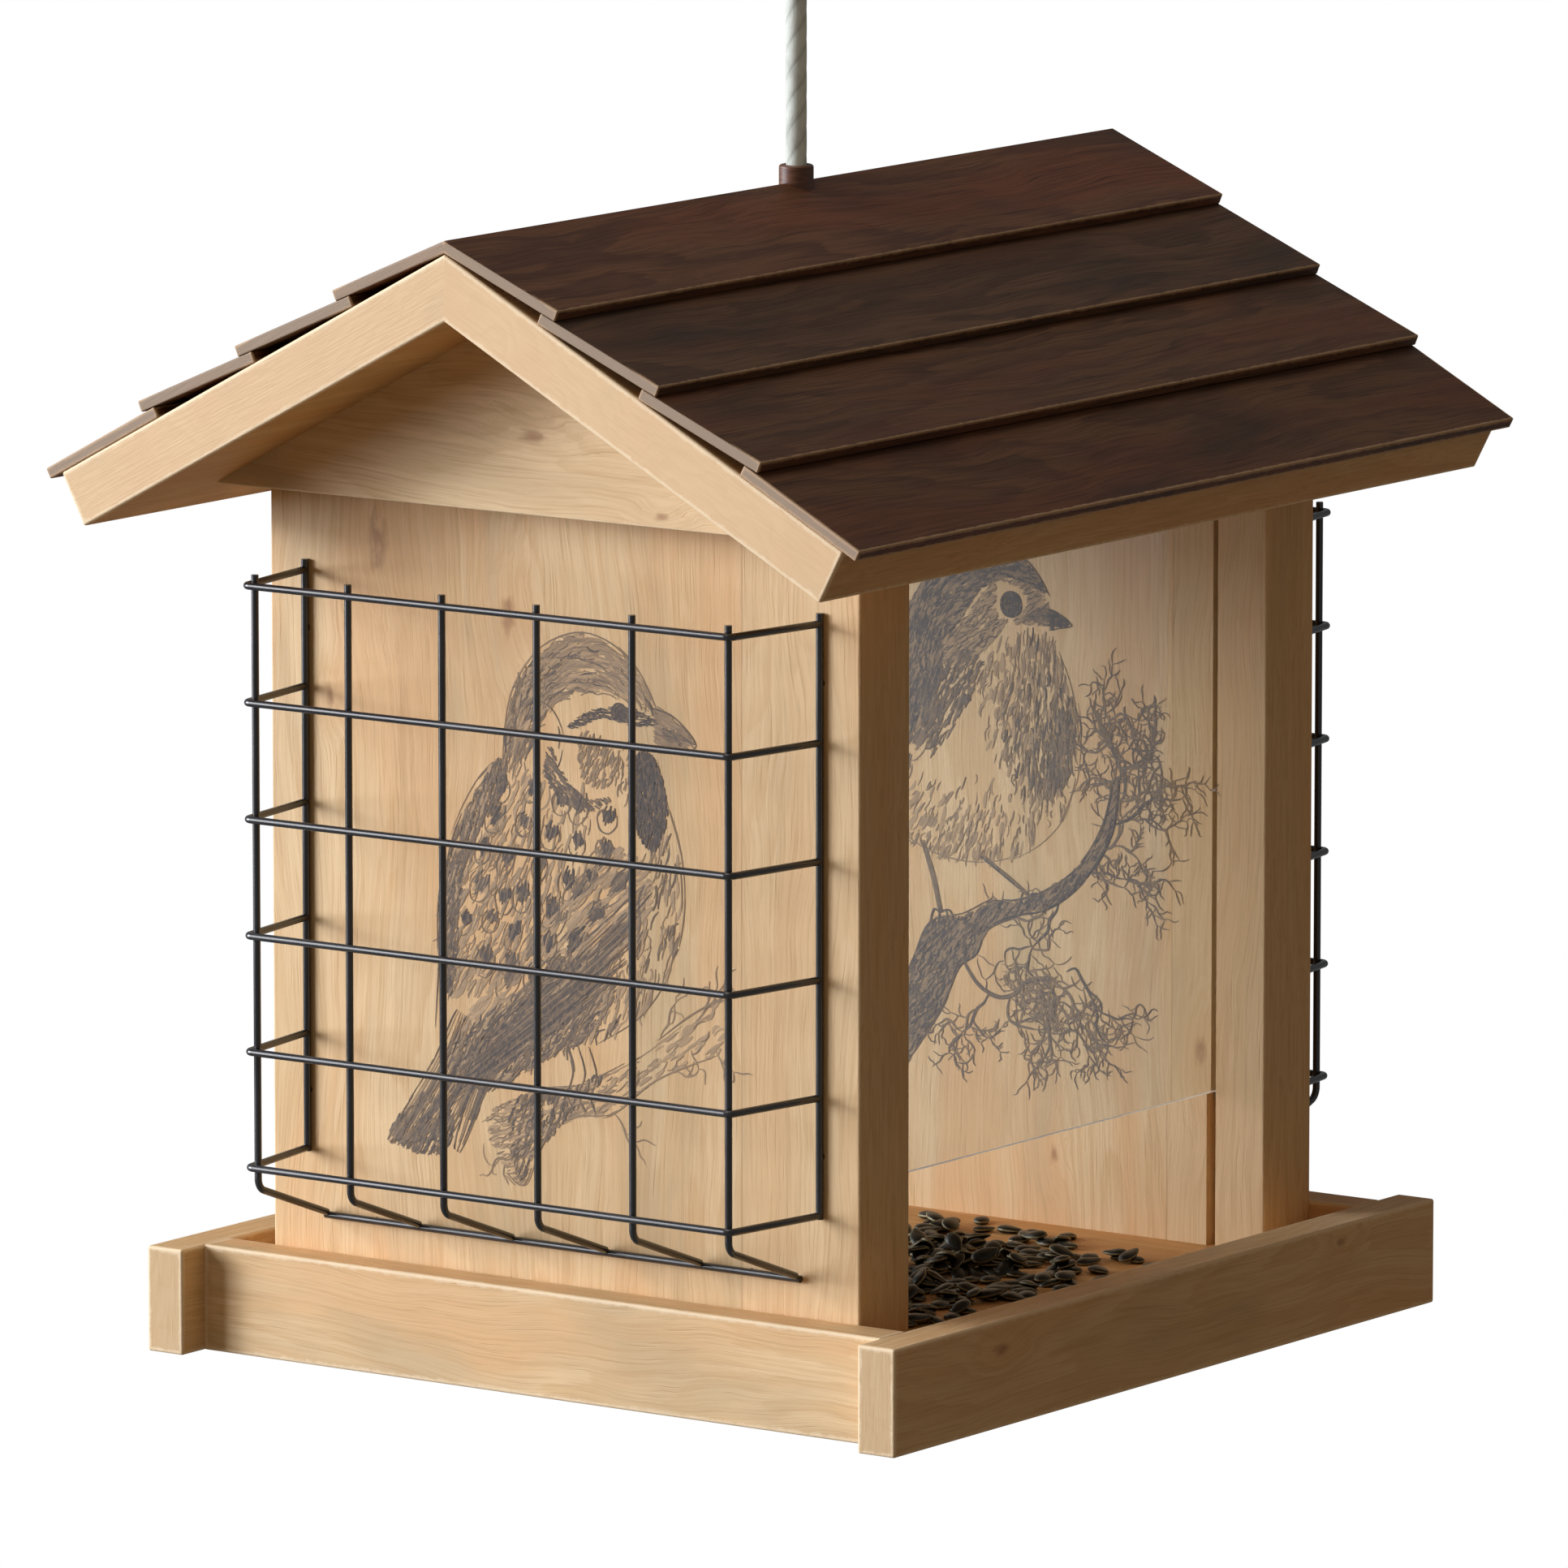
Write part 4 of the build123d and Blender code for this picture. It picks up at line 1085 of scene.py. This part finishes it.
def paint_fittings(rope, knot, seeds, prints):
    """Everything that isn't timber."""
    wire, plastic, steel = black_wire(), brown_plastic(), zinc_steel()
    for end in ("front", "rear"):
        for part in ("uprights", "hoops", "pegs"):
            paint(f"suet_cage_{end}_{part}", wire)
    for node in ("rope_collar", "hanging_eye"):
        paint(node, plastic)
    for node in ("knot_washer", "floor_screws", "hanger_bar_screws", "roof_screws", "panel_stop_pins"):
        paint(node, steel)
    acrylic = clear_acrylic()
    for node in ("acrylic_panel_left", "acrylic_panel_right"):
        paint(node, acrylic)
    fibre = rope_fibre()
    rope.data.materials.append(fibre)
    knot.data.materials.append(fibre)
    seeds.data.materials.append(seed_husk())
    ink = print_ink()
    for drawing in prints:
        drawing.data.materials.append(ink)


# ---------------------------------------------------------------- studio
def add_softbox(name, direction, distance, size, power, colour):
    """A square lamp looking at the house from a direction given as (left, up) in degrees from -Y."""
    left, up = (math.radians(angle) for angle in direction)
    middle = Vector((0.0, 0.0, 0.13))
    lamp = bpy.data.lights.new(name, "AREA")
    lamp.size = size
    lamp.energy = power
    lamp.color = colour
    holder = bpy.data.objects.new(name, lamp)
    bpy.context.scene.collection.objects.link(holder)
    holder.location = middle + distance * Vector((-math.sin(left) * math.cos(up),
                                                  -math.cos(left) * math.cos(up), math.sin(up)))
    aim(holder, middle)


LAMPS = (       # name, (left, up) in degrees from -Y, distance and size in m, power in W, colour
    ("key", (54.0, 12.0), 3.6, 2.5, 166.0, (1.0, 1.07, 1.21)),
    ("core", (54.0, 10.0), 3.6, 0.6, 36.0, (1.0, 1.07, 1.21)),
    ("top", (20.0, 72.0), 2.4, 1.2, 14.0, (1.0, 0.99, 0.98)),
)
FILL = (0.145, 0.109, 0.074, 1.0)       # warm, dim light from all round
MIRRORED = (0.20, 0.21, 0.225, 1.0)     # what gloss reflects of the room
WHITE = (1.0, 1.0, 1.0, 1.0)


def room_colour(g):
    """White to look at, also through glass; warm and dim as a light; cool and dim in reflections."""
    seen = g.node("LightPath").outputs
    undiffused = g.maths("LESS_THAN", seen["Diffuse Depth"], 0.5)
    unmirrored = g.maths("LESS_THAN", seen["Glossy Depth"], 0.5)
    shiny = g.maths("MAXIMUM", seen["Is Glossy Ray"], seen["Is Transmission Ray"])
    mirrored = g.times(undiffused, shiny)
    through = g.times(g.times(undiffused, unmirrored), seen["Is Transmission Ray"])
    looked_at = g.maths("MAXIMUM", seen["Is Camera Ray"], through)
    return g.mix(looked_at, g.mix(mirrored, FILL, MIRRORED), WHITE)


def add_world():
    """Plain white surroundings."""
    world = bpy.data.worlds.new("studio")
    world.use_nodes = True
    g = Graph(tree=world.node_tree)
    background = g.node("Background", {"Color": room_colour(g)})
    g.node("OutputWorld", {"Surface": background.outputs[0]})
    bpy.context.scene.world = world


def add_floor():
    """A wide pale floor well below the hanging feeder."""
    reach = 30.0
    drop = -0.45
    floor = mesh_object("studio_floor", [(-reach, -reach, drop), (reach, -reach, drop),
                                         (reach, reach, drop), (-reach, reach, drop)],
                        [(0, 1, 2, 3)], smooth=False)
    g = Graph("studio_floor")
    floor.data.materials.append(g.close(g.node("Emission", {"Color": room_colour(g)}).outputs[0]))


add_camera()
rope, rope_line = add_rope()
knot = add_knot()
seeds = scatter_seed()
prints = add_prints()
paint_timber()
paint_fittings(rope, knot, seeds, prints)
add_world()
add_floor()
for lamp in LAMPS:
    add_softbox(*lamp)
bpy.context.scene.view_settings.view_transform = "Standard"
